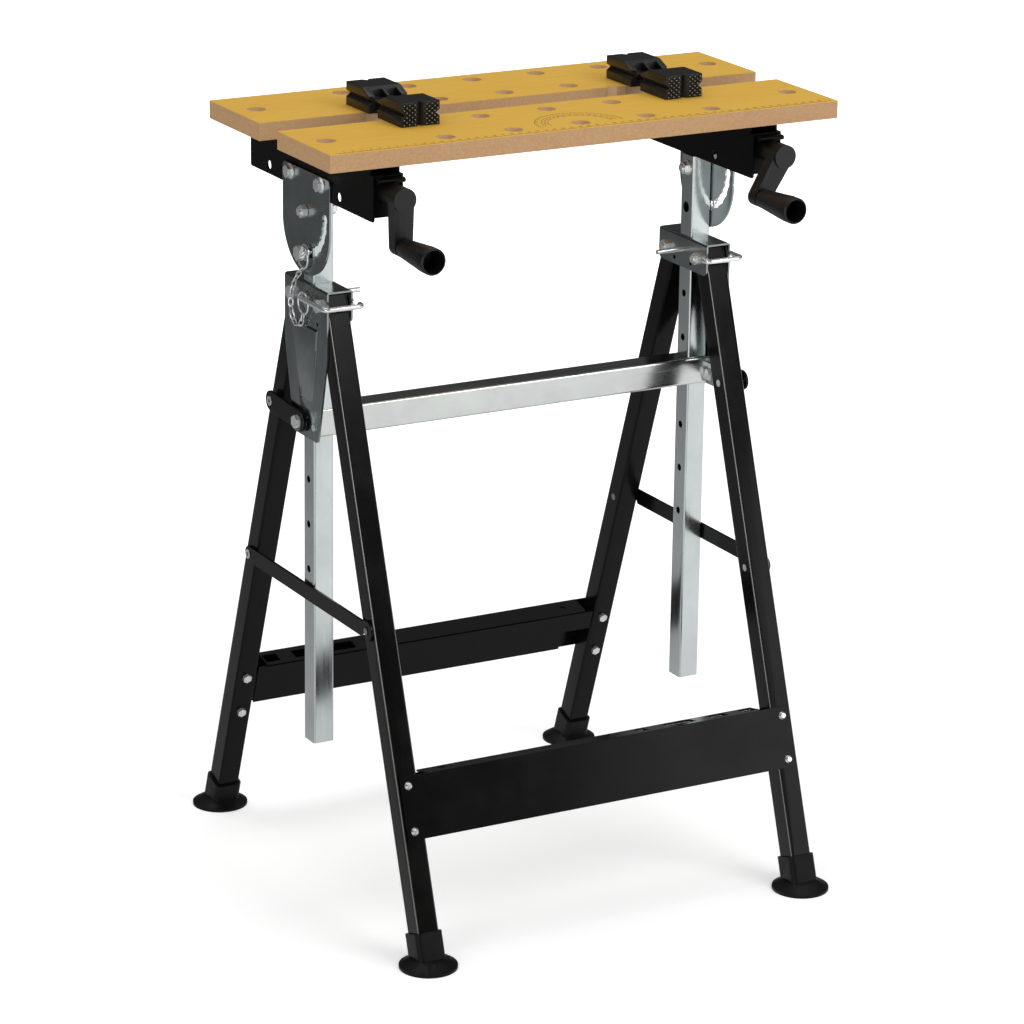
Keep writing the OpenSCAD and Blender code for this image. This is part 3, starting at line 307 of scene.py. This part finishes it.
leg_paint = painted_steel(
    "leg_paint", colour(0.0028, 0.0030, 0.0028), colour(0.0040, 0.0040, 0.0037), rough=0.17, shine=0.14)
beam_paint = painted_steel(
    "beam_paint", colour(0.0016, 0.0016, 0.0015), colour(0.0026, 0.0026, 0.0024), rough=0.32, shine=0.08)
# lighter and glossier than the leg paint: a painted highlight for the front legs' corners
painted_edge_highlight = painted_steel(
    "painted_edge_highlight", colour(0.020, 0.020, 0.018), colour(0.040, 0.039, 0.035), rough=0.14, shine=1.0)
dog_plastic = moulded(
    "dog_plastic", colour(0.0045, 0.0048, 0.0045), colour(0.0080, 0.0080, 0.0075),
    rough=0.30, grain=1500.0, depth=0.00008, shine=0.40)
grip_plastic = moulded(
    "grip_plastic", colour(0.0040, 0.0042, 0.0040), colour(0.0065, 0.0065, 0.0060),
    rough=0.33, grain=1700.0, depth=0.00007, shine=0.36)
foot_rubber = moulded(
    "foot_rubber", colour(0.0028, 0.0028, 0.0028), colour(0.0050, 0.0050, 0.0048),
    rough=0.38, grain=1200.0, depth=0.0002, shine=0.18)

# the edge paint's coat, and with it the painted highlight, is full above 0.42 m and weakest below 0.15 m
tree = painted_edge_highlight.node_tree
shader = tree.nodes["Principled BSDF"]
height = add(tree, "ShaderNodeSeparateXYZ")
join(tree, add(tree, "ShaderNodeTexCoord").outputs["Object"], height.inputs[0])
join(tree, spread(tree, height.outputs["Z"], 0.15, 0.42, 0.15, 1.0), shader.inputs["Coat Weight"])
shader.inputs["Coat Roughness"].default_value = 0.12
shader.inputs["Coat IOR"].default_value = 2.2
print("black finishes made")

# %% [markdown]
# ## Zinc sheet, bright tube and bright fasteners
# Plated steel is a metal: its colour is what it reflects, tinted a little blue by the plating.
# The rolled streaks run along each part, so every part that runs another way gets its own direction.
# The fasteners are blotchy and a little chalky, which breaks up what they mirror.

# %% Metal finishes
def plated(name, dark, light, rough, along, grain=160.0, relief=0.00008, metal=1.0):
    material, tree, shader, where = new_material(name, Metallic=metal)
    streak = use_group(tree, streak_group, Vector=where, Along=along, Grain=grain)
    clouds = spread(tree, streak.outputs["Clouds"], 0.35, 0.68)
    join(tree, blend_colour(tree, clouds, dark, light), shader.inputs["Base Color"])
    join(tree, spread(tree, streak.outputs["Streaks"], 0.3, 0.7, rough, rough + 0.10), shader.inputs["Roughness"])
    bump(tree, shader, streak.outputs["Streaks"], 0.08, relief)
    return material


zinc_sheet = plated(
    "zinc_sheet", colour(0.25, 0.285, 0.285), colour(0.34, 0.375, 0.375), rough=0.16, along=(1.0, 1.0, 0.08))
bright_tube = plated(
    "bright_tube", colour(0.56, 0.60, 0.60), colour(0.64, 0.68, 0.68), rough=0.14, along=(1.0, 1.0, 0.05))
bright_bar = plated(
    "bright_bar", colour(0.58, 0.60, 0.59), colour(0.66, 0.69, 0.67), rough=0.14, along=(0.05, 1.0, 1.0))
bright_zinc = plated(
    "bright_zinc", colour(0.74, 0.76, 0.77), colour(0.90, 0.91, 0.91), rough=0.16, along=(1.0, 1.0, 1.0),
    grain=420.0, relief=0.0012, metal=0.82)
print("metal finishes made")

# %% [markdown]
# ## Dressing each CAD piece
# A CAD mesh has knife-sharp edges, and nothing real has. Each piece is copied, its loose triangles
# are merged into a skin and its flat faces dissolved to whole faces. A Bevel modifier then
# rounds every edge a little, so that it catches the light. The copy stands for the CAD node.
# A second finish goes on chosen faces only: a painted highlight on the front legs' corners, and the dull studs
# that the straps hook on.

# %% Soft-edged copies
WELD = 2e-6                   # metres between points that are one point
FLAT = math.radians(0.3)      # faces that turn less than this are one face
SHARP = math.radians(32)      # edges that turn more than this are rounded


def dress(name, material, edge, segments=2):
    source = frame["nodes"][name]
    mesh = bmesh.new()
    mesh.from_mesh(source.data)
    bmesh.ops.remove_doubles(mesh, verts=mesh.verts, dist=WELD)
    bmesh.ops.dissolve_limit(mesh, angle_limit=FLAT, verts=mesh.verts, edges=mesh.edges)
    data = bpy.data.meshes.new(name + "_skin")
    mesh.to_mesh(data)
    mesh.free()
    piece = bpy.data.objects.new(name + "_skin", data)
    bpy.context.scene.collection.objects.link(piece)
    data.materials.append(material)
    for face in data.polygons:
        face.use_smooth = True
    data.set_sharp_from_angle(angle=SHARP)
    if edge > 0:
        rounding = piece.modifiers.new("rounding", "BEVEL")
        rounding.width = edge * MM
        rounding.segments = segments
        rounding.limit_method = "ANGLE"
        rounding.angle_limit = SHARP
        rounding.use_clamp_overlap = True
        rounding.harden_normals = True
    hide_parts(name)
    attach(piece, bodies[name])
    return piece


def second_finish(piece, material, chosen):
    piece.data.materials.append(material)
    faces = [face for face in piece.data.polygons if chosen(face)]
    for face in faces:
        face.material_index = len(piece.data.materials) - 1
    return len(faces)


finishes = {
    "board": (board_material, "front_board rear_board", 0.5),
    "beam_steel": (beam_paint, "left_beam right_beam front_end_plates rear_end_plates front_saddles "
                   "left_nut_carrier right_nut_carrier", 0.6),
    "black_steel": (leg_paint, "front_stretcher rear_stretcher left_strap right_strap left_link "
                    "right_link", 0.5),
    "zinc_sheet": (zinc_sheet, "left_tilt_plate right_tilt_plate left_bracket right_bracket", 0.3),
    "bright_tube": (bright_tube, "left_column right_column", 0.2),
    "black_plastic": (dog_plastic, "front_left_dog front_right_dog rear_left_dog rear_right_dog", 0.5),
    "foot_rubber": (foot_rubber, "front_left_foot front_right_foot rear_left_foot rear_right_foot", 0.8),
    "bright_zinc": (bright_zinc, "front_saddle_screws rear_saddle_screws left_spindle right_spindle "
                    "tilt_plate_bolts tilt_pivot_bolts tilt_lock_bolts left_chain right_chain "
                    "left_lock_pin right_lock_pin crossbar_bolts leg_pivot_bolts leg_pivot_nuts "
                    "link_hook_bolts front_stretcher_bolts rear_stretcher_bolts front_leg_studs "
                    "rear_leg_studs", 0.3),
}
skins = {}
for slot, (material, names, edge) in finishes.items():
    for name in names.split():
        skins[name] = dress(name, material, 0.0 if name.endswith("chain") else edge)
skins["crossbar"] = dress("crossbar", bright_bar, 0.2)
for name in ("front_left_leg", "front_right_leg", "rear_left_leg", "rear_right_leg"):
    skins[name] = dress(name, leg_paint, 0.3)
    if name.startswith("front"):
        # painted highlight: the diagonal corner faces of the front legs take the edge paint
        second_finish(skins[name], painted_edge_highlight, lambda face: 0.25 < abs(face.normal.x) < 0.95)
second_finish(skins["front_leg_studs"], zinc_sheet, lambda face: face.center.x < 0)
second_finish(skins["rear_leg_studs"], zinc_sheet, lambda face: face.center.x > 0)
for name in ("left_crank", "right_crank", "left_grip", "right_grip"):
    skins[name] = dress(name, grip_plastic, 0.8, 3)
print("dressed", len(skins), "of", len(frame["nodes"]))

# %% [markdown]
# ## Meshes from node trees
# Geometry Nodes suit whatever repeats: a tree makes one tooth or one tick and places it many times.
# These helpers start such a tree with named inputs, and turn its result into a plain mesh,
# because a finished piece carries no live modifier.

# %% Geometry node helpers
def new_maker(name, inputs):
    tree = bpy.data.node_groups.new(name, "GeometryNodeTree")
    for label, kind in inputs:
        tree.interface.new_socket(label, in_out="INPUT", socket_type=kind)
    tree.interface.new_socket("Geometry", in_out="OUTPUT", socket_type="NodeSocketGeometry")
    return tree, add(tree, "NodeGroupInput").outputs, add(tree, "NodeGroupOutput").inputs["Geometry"]


def close_maker(tree, geometry, material, last):
    real = add(tree, "GeometryNodeRealizeInstances")
    finish = add(tree, "GeometryNodeSetMaterial")
    join(tree, geometry, real.inputs[0])
    join(tree, real.outputs[0], finish.inputs["Geometry"])
    join(tree, material, finish.inputs["Material"])
    join(tree, finish.outputs[0], last)


def make_piece(name, tree, values):
    holder = bpy.data.objects.new(name, bpy.data.meshes.new(name + "_seed"))
    bpy.context.scene.collection.objects.link(holder)
    maker = holder.modifiers.new("maker", "NODES")
    maker.node_group = tree
    for item in tree.interface.items_tree:
        if item.in_out == "INPUT":
            maker[item.identifier] = values[item.name]
    graph = bpy.context.evaluated_depsgraph_get()
    mesh = bpy.data.meshes.new_from_object(
        holder.evaluated_get(graph), preserve_all_data_layers=True, depsgraph=graph)
    holder.modifiers.clear()
    holder.data = mesh
    mesh.name = name
    mesh.materials.clear()
    mesh.materials.append(values["Finish"])
    for face in mesh.polygons:
        face.material_index = 0
    return holder


print("piece makers ready")

# %% [markdown]
# ## Knurled faces on the bench dogs
# Each dog grips with rows of little pyramids, moulded in a diagonal grid so that neighbouring
# rows stand in each other's gaps. Two grids of points make that pattern, one shifted by half a step,
# and a four-sided cone stands on each point. The tooth that would hang in the side groove is left out.
# The blunt tips get a lighter finish of their own: a painted glint for the light that their small flat tops catch.

# %% Knurled dog faces
knurl, given, last = new_maker("knurled_face", [
    ("Columns", "NodeSocketInt"), ("Rows", "NodeSocketInt"), ("Across", "NodeSocketFloat"),
    ("Up", "NodeSocketFloat"), ("Half centre", "NodeSocketFloat"), ("Groove from", "NodeSocketFloat"),
    ("Groove half", "NodeSocketFloat"), ("Tooth", "NodeSocketFloat"), ("Place", "NodeSocketVector"),
    ("Turn", "NodeSocketVector"), ("Finish", "NodeSocketMaterial")])
points = add(knurl, "GeometryNodeJoinGeometry")
for side in (-1.0, 1.0):
    for fewer in (1.0, 2.0):
        grid = add(knurl, "GeometryNodeMeshGrid")
        columns = calc(knurl, "SUBTRACT", given["Columns"], fewer)
        rows = calc(knurl, "SUBTRACT", given["Rows"], fewer)
        join(knurl, calc(knurl, "ADD", columns, 1.0), grid.inputs["Vertices X"])
        join(knurl, calc(knurl, "ADD", rows, 1.0), grid.inputs["Vertices Y"])
        join(knurl, calc(knurl, "MULTIPLY", columns, given["Across"]), grid.inputs["Size X"])
        join(knurl, calc(knurl, "MULTIPLY", rows, given["Up"]), grid.inputs["Size Y"])
        shift = add(knurl, "ShaderNodeCombineXYZ")
        join(knurl, calc(knurl, "MULTIPLY", given["Half centre"], side), shift.inputs[0])
        moved = add(knurl, "GeometryNodeTransform")
        join(knurl, grid.outputs["Mesh"], moved.inputs["Geometry"])
        join(knurl, shift.outputs[0], moved.inputs["Translation"])
        join(knurl, moved.outputs[0], points.inputs[0])
spot = add(knurl, "ShaderNodeSeparateXYZ")
join(knurl, add(knurl, "GeometryNodeInputPosition").outputs[0], spot.inputs[0])
outer = calc(knurl, "GREATER_THAN", calc(knurl, "ABSOLUTE", spot.outputs[0]), given["Groove from"])
level = calc(knurl, "LESS_THAN", calc(knurl, "ABSOLUTE", spot.outputs[1]), given["Groove half"])
clear = add(knurl, "GeometryNodeDeleteGeometry", domain="POINT")
join(knurl, points.outputs[0], clear.inputs["Geometry"])
join(knurl, calc(knurl, "MULTIPLY", outer, level), clear.inputs["Selection"])
tooth = add(knurl, "GeometryNodeMeshCone")
tooth.inputs["Vertices"].default_value = 4
join(knurl, calc(knurl, "MULTIPLY", given["Across"], 0.15), tooth.inputs["Radius Top"])
join(knurl, calc(knurl, "MULTIPLY", given["Across"], 0.5), tooth.inputs["Radius Bottom"])
join(knurl, given["Tooth"], tooth.inputs["Depth"])
squeeze = add(knurl, "ShaderNodeCombineXYZ")
join(knurl, calc(knurl, "DIVIDE", given["Up"], given["Across"]), squeeze.inputs[1])
squeeze.inputs[0].default_value = squeeze.inputs[2].default_value = 1.0
stand = add(knurl, "GeometryNodeInstanceOnPoints")
join(knurl, clear.outputs[0], stand.inputs["Points"])
join(knurl, tooth.outputs["Mesh"], stand.inputs["Instance"])
join(knurl, squeeze.outputs[0], stand.inputs["Scale"])
placed = add(knurl, "GeometryNodeTransform")
join(knurl, stand.outputs[0], placed.inputs["Geometry"])
join(knurl, given["Place"], placed.inputs["Translation"])
join(knurl, given["Turn"], placed.inputs["Rotation"])
close_maker(knurl, placed.outputs[0], given["Finish"], last)

# a pale grey for the teeth's flat tips: a painted glint
tip_glint_paint = moulded(
    "tip_glint_paint", colour(0.21, 0.21, 0.20), colour(0.30, 0.30, 0.29),
    rough=0.38, grain=1500.0, depth=0.00012, shine=0.5)
COLUMNS, ROWS = 3, 5
FACE_HIGH, FACE_GROOVE = 25 * MM, 7 * MM
SIDE_GROOVE_DEEP, SIDE_GROOVE_HIGH = 4.5 * MM, 6.5 * MM
TOOTH_HIGH, SUNK = 1.2 * MM, 0.05 * MM
TIP_AREA = 6 * MM * MM        # a tip is the smaller of a tooth's two flat ends
for name in ("front_left_dog", "front_right_dog", "rear_left_dog", "rear_right_dog"):
    low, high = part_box(name)
    wide, face_top = high[0] - low[0], high[2]
    face_foot = face_top - FACE_HIGH
    half = (wide - FACE_GROOVE) / 2
    faces_front = name.startswith("front")
    y = low[1] + SUNK if faces_front else high[1] - SUNK
    teeth = make_piece(name + "_teeth", knurl, {
        "Columns": COLUMNS, "Rows": ROWS, "Across": half / COLUMNS, "Up": (face_top - face_foot) / ROWS,
        "Half centre": (FACE_GROOVE + half) / 2, "Groove from": wide / 2 - SIDE_GROOVE_DEEP,
        "Groove half": SIDE_GROOVE_HIGH / 2, "Tooth": TOOTH_HIGH,
        "Place": ((low[0] + high[0]) / 2, y, (face_top + face_foot) / 2),
        "Turn": (math.radians(90.0 if faces_front else -90.0), 0.0, 0.0), "Finish": dog_plastic})
    # the painted glint goes on the small flat tips that face out of the dog
    tips = second_finish(teeth, tip_glint_paint, lambda face: abs(face.normal.y) > 0.95 and face.area < TIP_AREA)
    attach(teeth, bodies[name])
print("teeth on a dog face", len(teeth.data.polygons) // 6, "glint-painted tips", tips)

# %% [markdown]
# ## A ruler and a protractor printed on the front board
# The print is thin dark ink along the front edge, in centimetres, with a half-circle of degrees
# in the middle. Each tick is a thin plate that stands 0.03 mm above the laminate, far below
# what an eye can see, which keeps it sharp close up. A tree repeats the ticks, along a line
# or round a half-circle, and the numbers come from Blender's own plain font.

# %% Ruler and protractor
ink, tree, shader, where = new_material("ruler_ink", Roughness=0.55, Specular_IOR_Level=0.2)
wear = noise(tree, where, 700.0, 2.0)
faded = blend_colour(tree, spread(tree, wear, 0.45, 0.75), colour(0.045, 0.030, 0.008), colour(0.13, 0.080, 0.016))
join(tree, faded, shader.inputs["Base Color"])
ticks, given, last = new_maker("row_of_ticks", [
    ("Count", "NodeSocketInt"), ("Step", "NodeSocketVector"), ("Start", "NodeSocketVector"),
    ("First", "NodeSocketFloat"), ("Swing", "NodeSocketFloat"), ("Radius", "NodeSocketFloat"),
    ("Wide", "NodeSocketFloat"), ("Short", "NodeSocketFloat"), ("Middle", "NodeSocketFloat"),
    ("Long", "NodeSocketFloat"), ("Thick", "NodeSocketFloat"), ("Finish", "NodeSocketMaterial")])
line = add(ticks, "GeometryNodeMeshLine")
join(ticks, given["Count"], line.inputs["Count"])
join(ticks, given["Start"], line.inputs["Start Location"])
join(ticks, given["Step"], line.inputs["Offset"])
index = add(ticks, "GeometryNodeInputIndex").outputs[0]
tenth = calc(ticks, "LESS_THAN", calc(ticks, "MODULO", index, 10.0), 0.5)
fifth = calc(ticks, "LESS_THAN", calc(ticks, "MODULO", index, 5.0), 0.5)
reach = calc(ticks, "ADD", given["Short"], calc(ticks, "MULTIPLY", fifth, given["Middle"]))
reach = calc(ticks, "ADD", reach, calc(ticks, "MULTIPLY", tenth, given["Long"]))
plate = add(ticks, "GeometryNodeMeshCube")
plate.inputs["Size"].default_value = (1.0, 1.0, 1.0)
raised = add(ticks, "GeometryNodeTransform")
join(ticks, plate.outputs["Mesh"], raised.inputs["Geometry"])
lift = add(ticks, "ShaderNodeCombineXYZ")
lift.inputs[1].default_value = 0.5
join(ticks, lift.outputs[0], raised.inputs["Translation"])
size_of = add(ticks, "ShaderNodeCombineXYZ")
for i, value in enumerate((given["Wide"], reach, given["Thick"])):
    join(ticks, value, size_of.inputs[i])
turn = calc(ticks, "ADD", given["First"], calc(ticks, "MULTIPLY", index, given["Swing"]))
angle = add(ticks, "ShaderNodeCombineXYZ")
join(ticks, turn, angle.inputs[2])
outward = add(ticks, "ShaderNodeCombineXYZ")
leftward = calc(ticks, "MULTIPLY", given["Radius"], -1.0)
join(ticks, calc(ticks, "MULTIPLY", calc(ticks, "SINE", turn), leftward), outward.inputs[0])
join(ticks, calc(ticks, "MULTIPLY", calc(ticks, "COSINE", turn), given["Radius"]), outward.inputs[1])
fanned = add(ticks, "GeometryNodeSetPosition")
join(ticks, line.outputs["Mesh"], fanned.inputs["Geometry"])
join(ticks, outward.outputs[0], fanned.inputs["Offset"])
stand = add(ticks, "GeometryNodeInstanceOnPoints")
join(ticks, fanned.outputs[0], stand.inputs["Points"])
join(ticks, raised.outputs[0], stand.inputs["Instance"])
join(ticks, size_of.outputs[0], stand.inputs["Scale"])
join(ticks, angle.outputs[0], stand.inputs["Rotation"])
close_maker(ticks, stand.outputs[0], given["Finish"], last)

board_low, board_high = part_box("front_board")
INK_AT = board_high[2] + 0.005 * MM
THICK = 0.05 * MM
RULER_FROM = -290             # the ruler's zero, in millimetres from the board's middle
HALF_CIRCLE = Vector((0.0, board_low[1] + 21.4 * MM, INK_AT))


def lay_print(piece):
    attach(piece, bodies["front_board"])
    return piece


row = lay_print(make_piece("ruler_ticks", ticks, {
    "Count": 581, "Step": (1 * MM, 0.0, 0.0), "Start": (RULER_FROM * MM, board_low[1] + 0.8 * MM, INK_AT),
    "First": 0.0, "Swing": 0.0, "Radius": 0.0, "Wide": 0.38 * MM, "Short": 2.4 * MM, "Middle": 1.2 * MM,
    "Long": 1.0 * MM, "Thick": THICK, "Finish": ink}))
fan = lay_print(make_piece("protractor_ticks", ticks, {
    "Count": 37, "Step": (0.0, 0.0, 0.0), "Start": tuple(HALF_CIRCLE), "First": math.radians(-90.0),
    "Swing": math.radians(5.0), "Radius": 45.5 * MM, "Wide": 0.45 * MM, "Short": 2.4 * MM, "Middle": 0.0,
    "Long": 1.2 * MM, "Thick": THICK, "Finish": ink}))
print("ticks", len(row.data.polygons) // 6, "and", len(fan.data.polygons) // 6)

# %% [markdown]
# ## Arcs and numbers
# An arc is a thin flat band, made point by point round the half circle and closed at both ends.
# The numbers are text objects turned into meshes and gathered in one, each set square to its own tick.

# %% Arcs and numbers
def arc_band(mesh, centre, radius, wide, thick, steps=72):
    rings = []
    for i in range(steps + 1):
        a = math.pi * i / steps
        out = Vector((math.cos(a), math.sin(a), 0.0))
        corners = ((radius, -thick / 2), (radius + wide, -thick / 2),
                   (radius + wide, thick / 2), (radius, thick / 2))
        rings.append([mesh.verts.new(centre + out * r + Vector((0, 0, z))) for r, z in corners])
    for one, two in zip(rings, rings[1:]):
        for k in range(4):
            mesh.faces.new((one[k], one[(k + 1) % 4], two[(k + 1) % 4], two[k]))
    mesh.faces.new(rings[0][::-1])
    mesh.faces.new(rings[-1])


def number(mesh, label, size, at, turn):
    text = bpy.data.curves.new("number", "FONT")
    text.body, text.size, text.extrude, text.resolution_u = label, size, THICK / 2, 2
    text.offset = size * 0.02
    text.align_x, text.align_y = "CENTER", "CENTER"
    holder = bpy.data.objects.new("number", text)
    bpy.context.scene.collection.objects.link(holder)
    graph = bpy.context.evaluated_depsgraph_get()
    flat = bpy.data.meshes.new_from_object(holder.evaluated_get(graph))
    bpy.data.objects.remove(holder)
    flat.transform(Matrix.Translation(at) @ Matrix.Rotation(turn, 4, "Z"))
    mesh.from_mesh(flat)
    bpy.data.meshes.remove(flat)


def gathered(name, mesh, material):
    bmesh.ops.remove_doubles(mesh, verts=mesh.verts, dist=1e-6)
    bmesh.ops.recalc_face_normals(mesh, faces=mesh.faces)
    data = bpy.data.meshes.new(name)
    mesh.to_mesh(data)
    mesh.free()
    data.materials.clear()
    data.materials.append(material)
    piece = bpy.data.objects.new(name, data)
    bpy.context.scene.collection.objects.link(piece)
    return lay_print(piece)


arcs = bmesh.new()
for radius in (48.4, 41.6, 34.8):
    arc_band(arcs, HALF_CIRCLE, radius * MM, 0.55 * MM, THICK)
gathered("protractor_arcs", arcs, ink)

numbers = bmesh.new()
for centimetre in range(1, 58):
    at = Vector(((RULER_FROM + 10 * centimetre) * MM, board_low[1] + 7.6 * MM, INK_AT))
    number(numbers, str(centimetre), 4.2 * MM, at, 0.0)
for degrees in range(10, 180, 10):
    a = math.radians(180 - degrees)
    out = Vector((math.cos(a), math.sin(a), 0.0))
    number(numbers, str(degrees), 3.0 * MM, HALF_CIRCLE + out * 38.4 * MM, a - math.pi / 2)
printed = gathered("printed_numbers", numbers, ink)
print("number faces", len(printed.data.polygons))

# %% [markdown]
# ## A studio with a pale floor
# The background is white because floor and backdrop are white to the camera,
# not because more light falls on the bench. Shiny steel shows whatever stands round it, and in a studio
# that is a bright sweep in front and dark, unlit room behind: the photograph's steel is bright on its front faces
# and dark on its left ones. So for glossy rays the floor falls off towards the rear left,
# and the room shows a low band and a ceiling. The fade keeps the shadow near the bench
# and lets the far floor go white.

# %% Floor and world
FLOOR = 30.0                  # half the floor's side, in metres
floor_mesh = bpy.data.meshes.new("floor")
corners = [(-FLOOR, -FLOOR, 0), (FLOOR, -FLOOR, 0), (FLOOR, FLOOR, 0), (-FLOOR, FLOOR, 0)]
floor_mesh.from_pydata(corners, [], [(0, 1, 2, 3)])
floor = bpy.data.objects.new("floor", floor_mesh)
bpy.context.scene.collection.objects.link(floor)
floor_material, tree, shader, where = new_material("pale_floor", Roughness=0.9, Specular_IOR_Level=0.1)
rays = add(tree, "ShaderNodeLightPath")
to_camera, to_gloss = rays.outputs["Is Camera Ray"], rays.outputs["Is Glossy Ray"]
rear_left = add(tree, "ShaderNodeVectorMath", operation="DOT_PRODUCT")
join(tree, where, rear_left.inputs[0])
rear_left.inputs[1].default_value = (-0.49, 0.87, 0.0)
near_light = spread(tree, rear_left.outputs["Value"], -0.9, 0.45, 0.95, 0.42)
far_light = spread(tree, rear_left.outputs["Value"], 0.45, 2.6, 0.0, 0.30)
sweep = calc(tree, "SUBTRACT", near_light, far_light)
away = add(tree, "ShaderNodeVectorMath", operation="LENGTH")
join(tree, where, away.inputs[0])
fade = spread(tree, away.outputs["Value"], 0.7, 2.6, 0.33, 1.0)
glow = calc(tree, "ADD", calc(tree, "MULTIPLY", to_camera, fade), calc(tree, "MULTIPLY", to_gloss, sweep))
join(tree, glow, shader.inputs["Emission Strength"])
shader.inputs["Emission Color"].default_value = colour(1, 1, 1)
pale = blend_colour(tree, to_gloss, colour(0.88, 0.88, 0.88), colour(0.04, 0.04, 0.04))
join(tree, pale, shader.inputs["Base Color"])
floor_mesh.materials.append(floor_material)

world = bpy.data.worlds.new("studio")
bpy.context.scene.world = world
world.use_nodes = True
tree = world.node_tree
backdrop = tree.nodes["Background"]
rays = add(tree, "ShaderNodeLightPath")
seen = calc(tree, "MAXIMUM", rays.outputs["Is Camera Ray"], rays.outputs["Is Transmission Ray"])
glossy = rays.outputs["Is Glossy Ray"]
direction = add(tree, "ShaderNodeSeparateXYZ")
join(tree, add(tree, "ShaderNodeTexCoord").outputs["Generated"], direction.inputs[0])
low_band = spread(tree, direction.outputs["Z"], 0.0, 0.30, 0.16, 0.03)
ceiling = spread(tree, direction.outputs["Z"], 0.45, 0.95, 0.0, 0.55)
room = calc(tree, "ADD", low_band, ceiling)
AMBIENT = 0.55                # even light from the room on everything that is not shiny
mirrored = calc(tree, "MULTIPLY", glossy, calc(tree, "SUBTRACT", room, AMBIENT))
strength = calc(tree, "ADD", mirrored, AMBIENT)
strength = calc(tree, "MAXIMUM", strength, seen)
join(tree, strength, backdrop.inputs["Strength"])
backdrop.inputs["Color"].default_value = colour(1, 1, 1)
print("floor and world ready")

# %% [markdown]
# ## Soft lamps
# A big soft lamp stands at the front right, a weaker one at the left, and one hangs above.
# A weak, low card at the front right shows only as a sheen in the paint of the front right leg
# and of the front stretcher's right half.
# Their light adds up to about 1 on the board, so that a colour renders about as it is written.

# %% Lamps
def lamp(name, at, target, width, height, power):
    light = bpy.data.lights.new(name, "AREA")
    light.shape = "RECTANGLE"
    light.size, light.size_y, light.energy = width, height, power
    holder = bpy.data.objects.new(name, light)
    bpy.context.scene.collection.objects.link(holder)
    aim = (Vector(target) - Vector(at)).to_track_quat("-Z", "Y")
    holder.matrix_world = Matrix.Translation(Vector(at)) @ aim.to_matrix().to_4x4()
    holder.visible_camera = False


lamp("key", (1.6, -3.4, 3.0), (0, 0, 0.5), 2.2, 2.2, 60)
lamp("fill", (-3.3, -2.1, 1.0), (0, 0, 0.45), 1.3, 2.6, 26)
lamp("top", (0.0, 0.6, 4.0), (0, 0, 0.5), 3.0, 2.0, 40)
lamp("card", (1.85, -2.65, 0.72), (0.2, -0.2, 0.35), 0.9, 1.0, 6.5)
bpy.context.scene.view_settings.view_transform = "Standard"
print("studio lit")
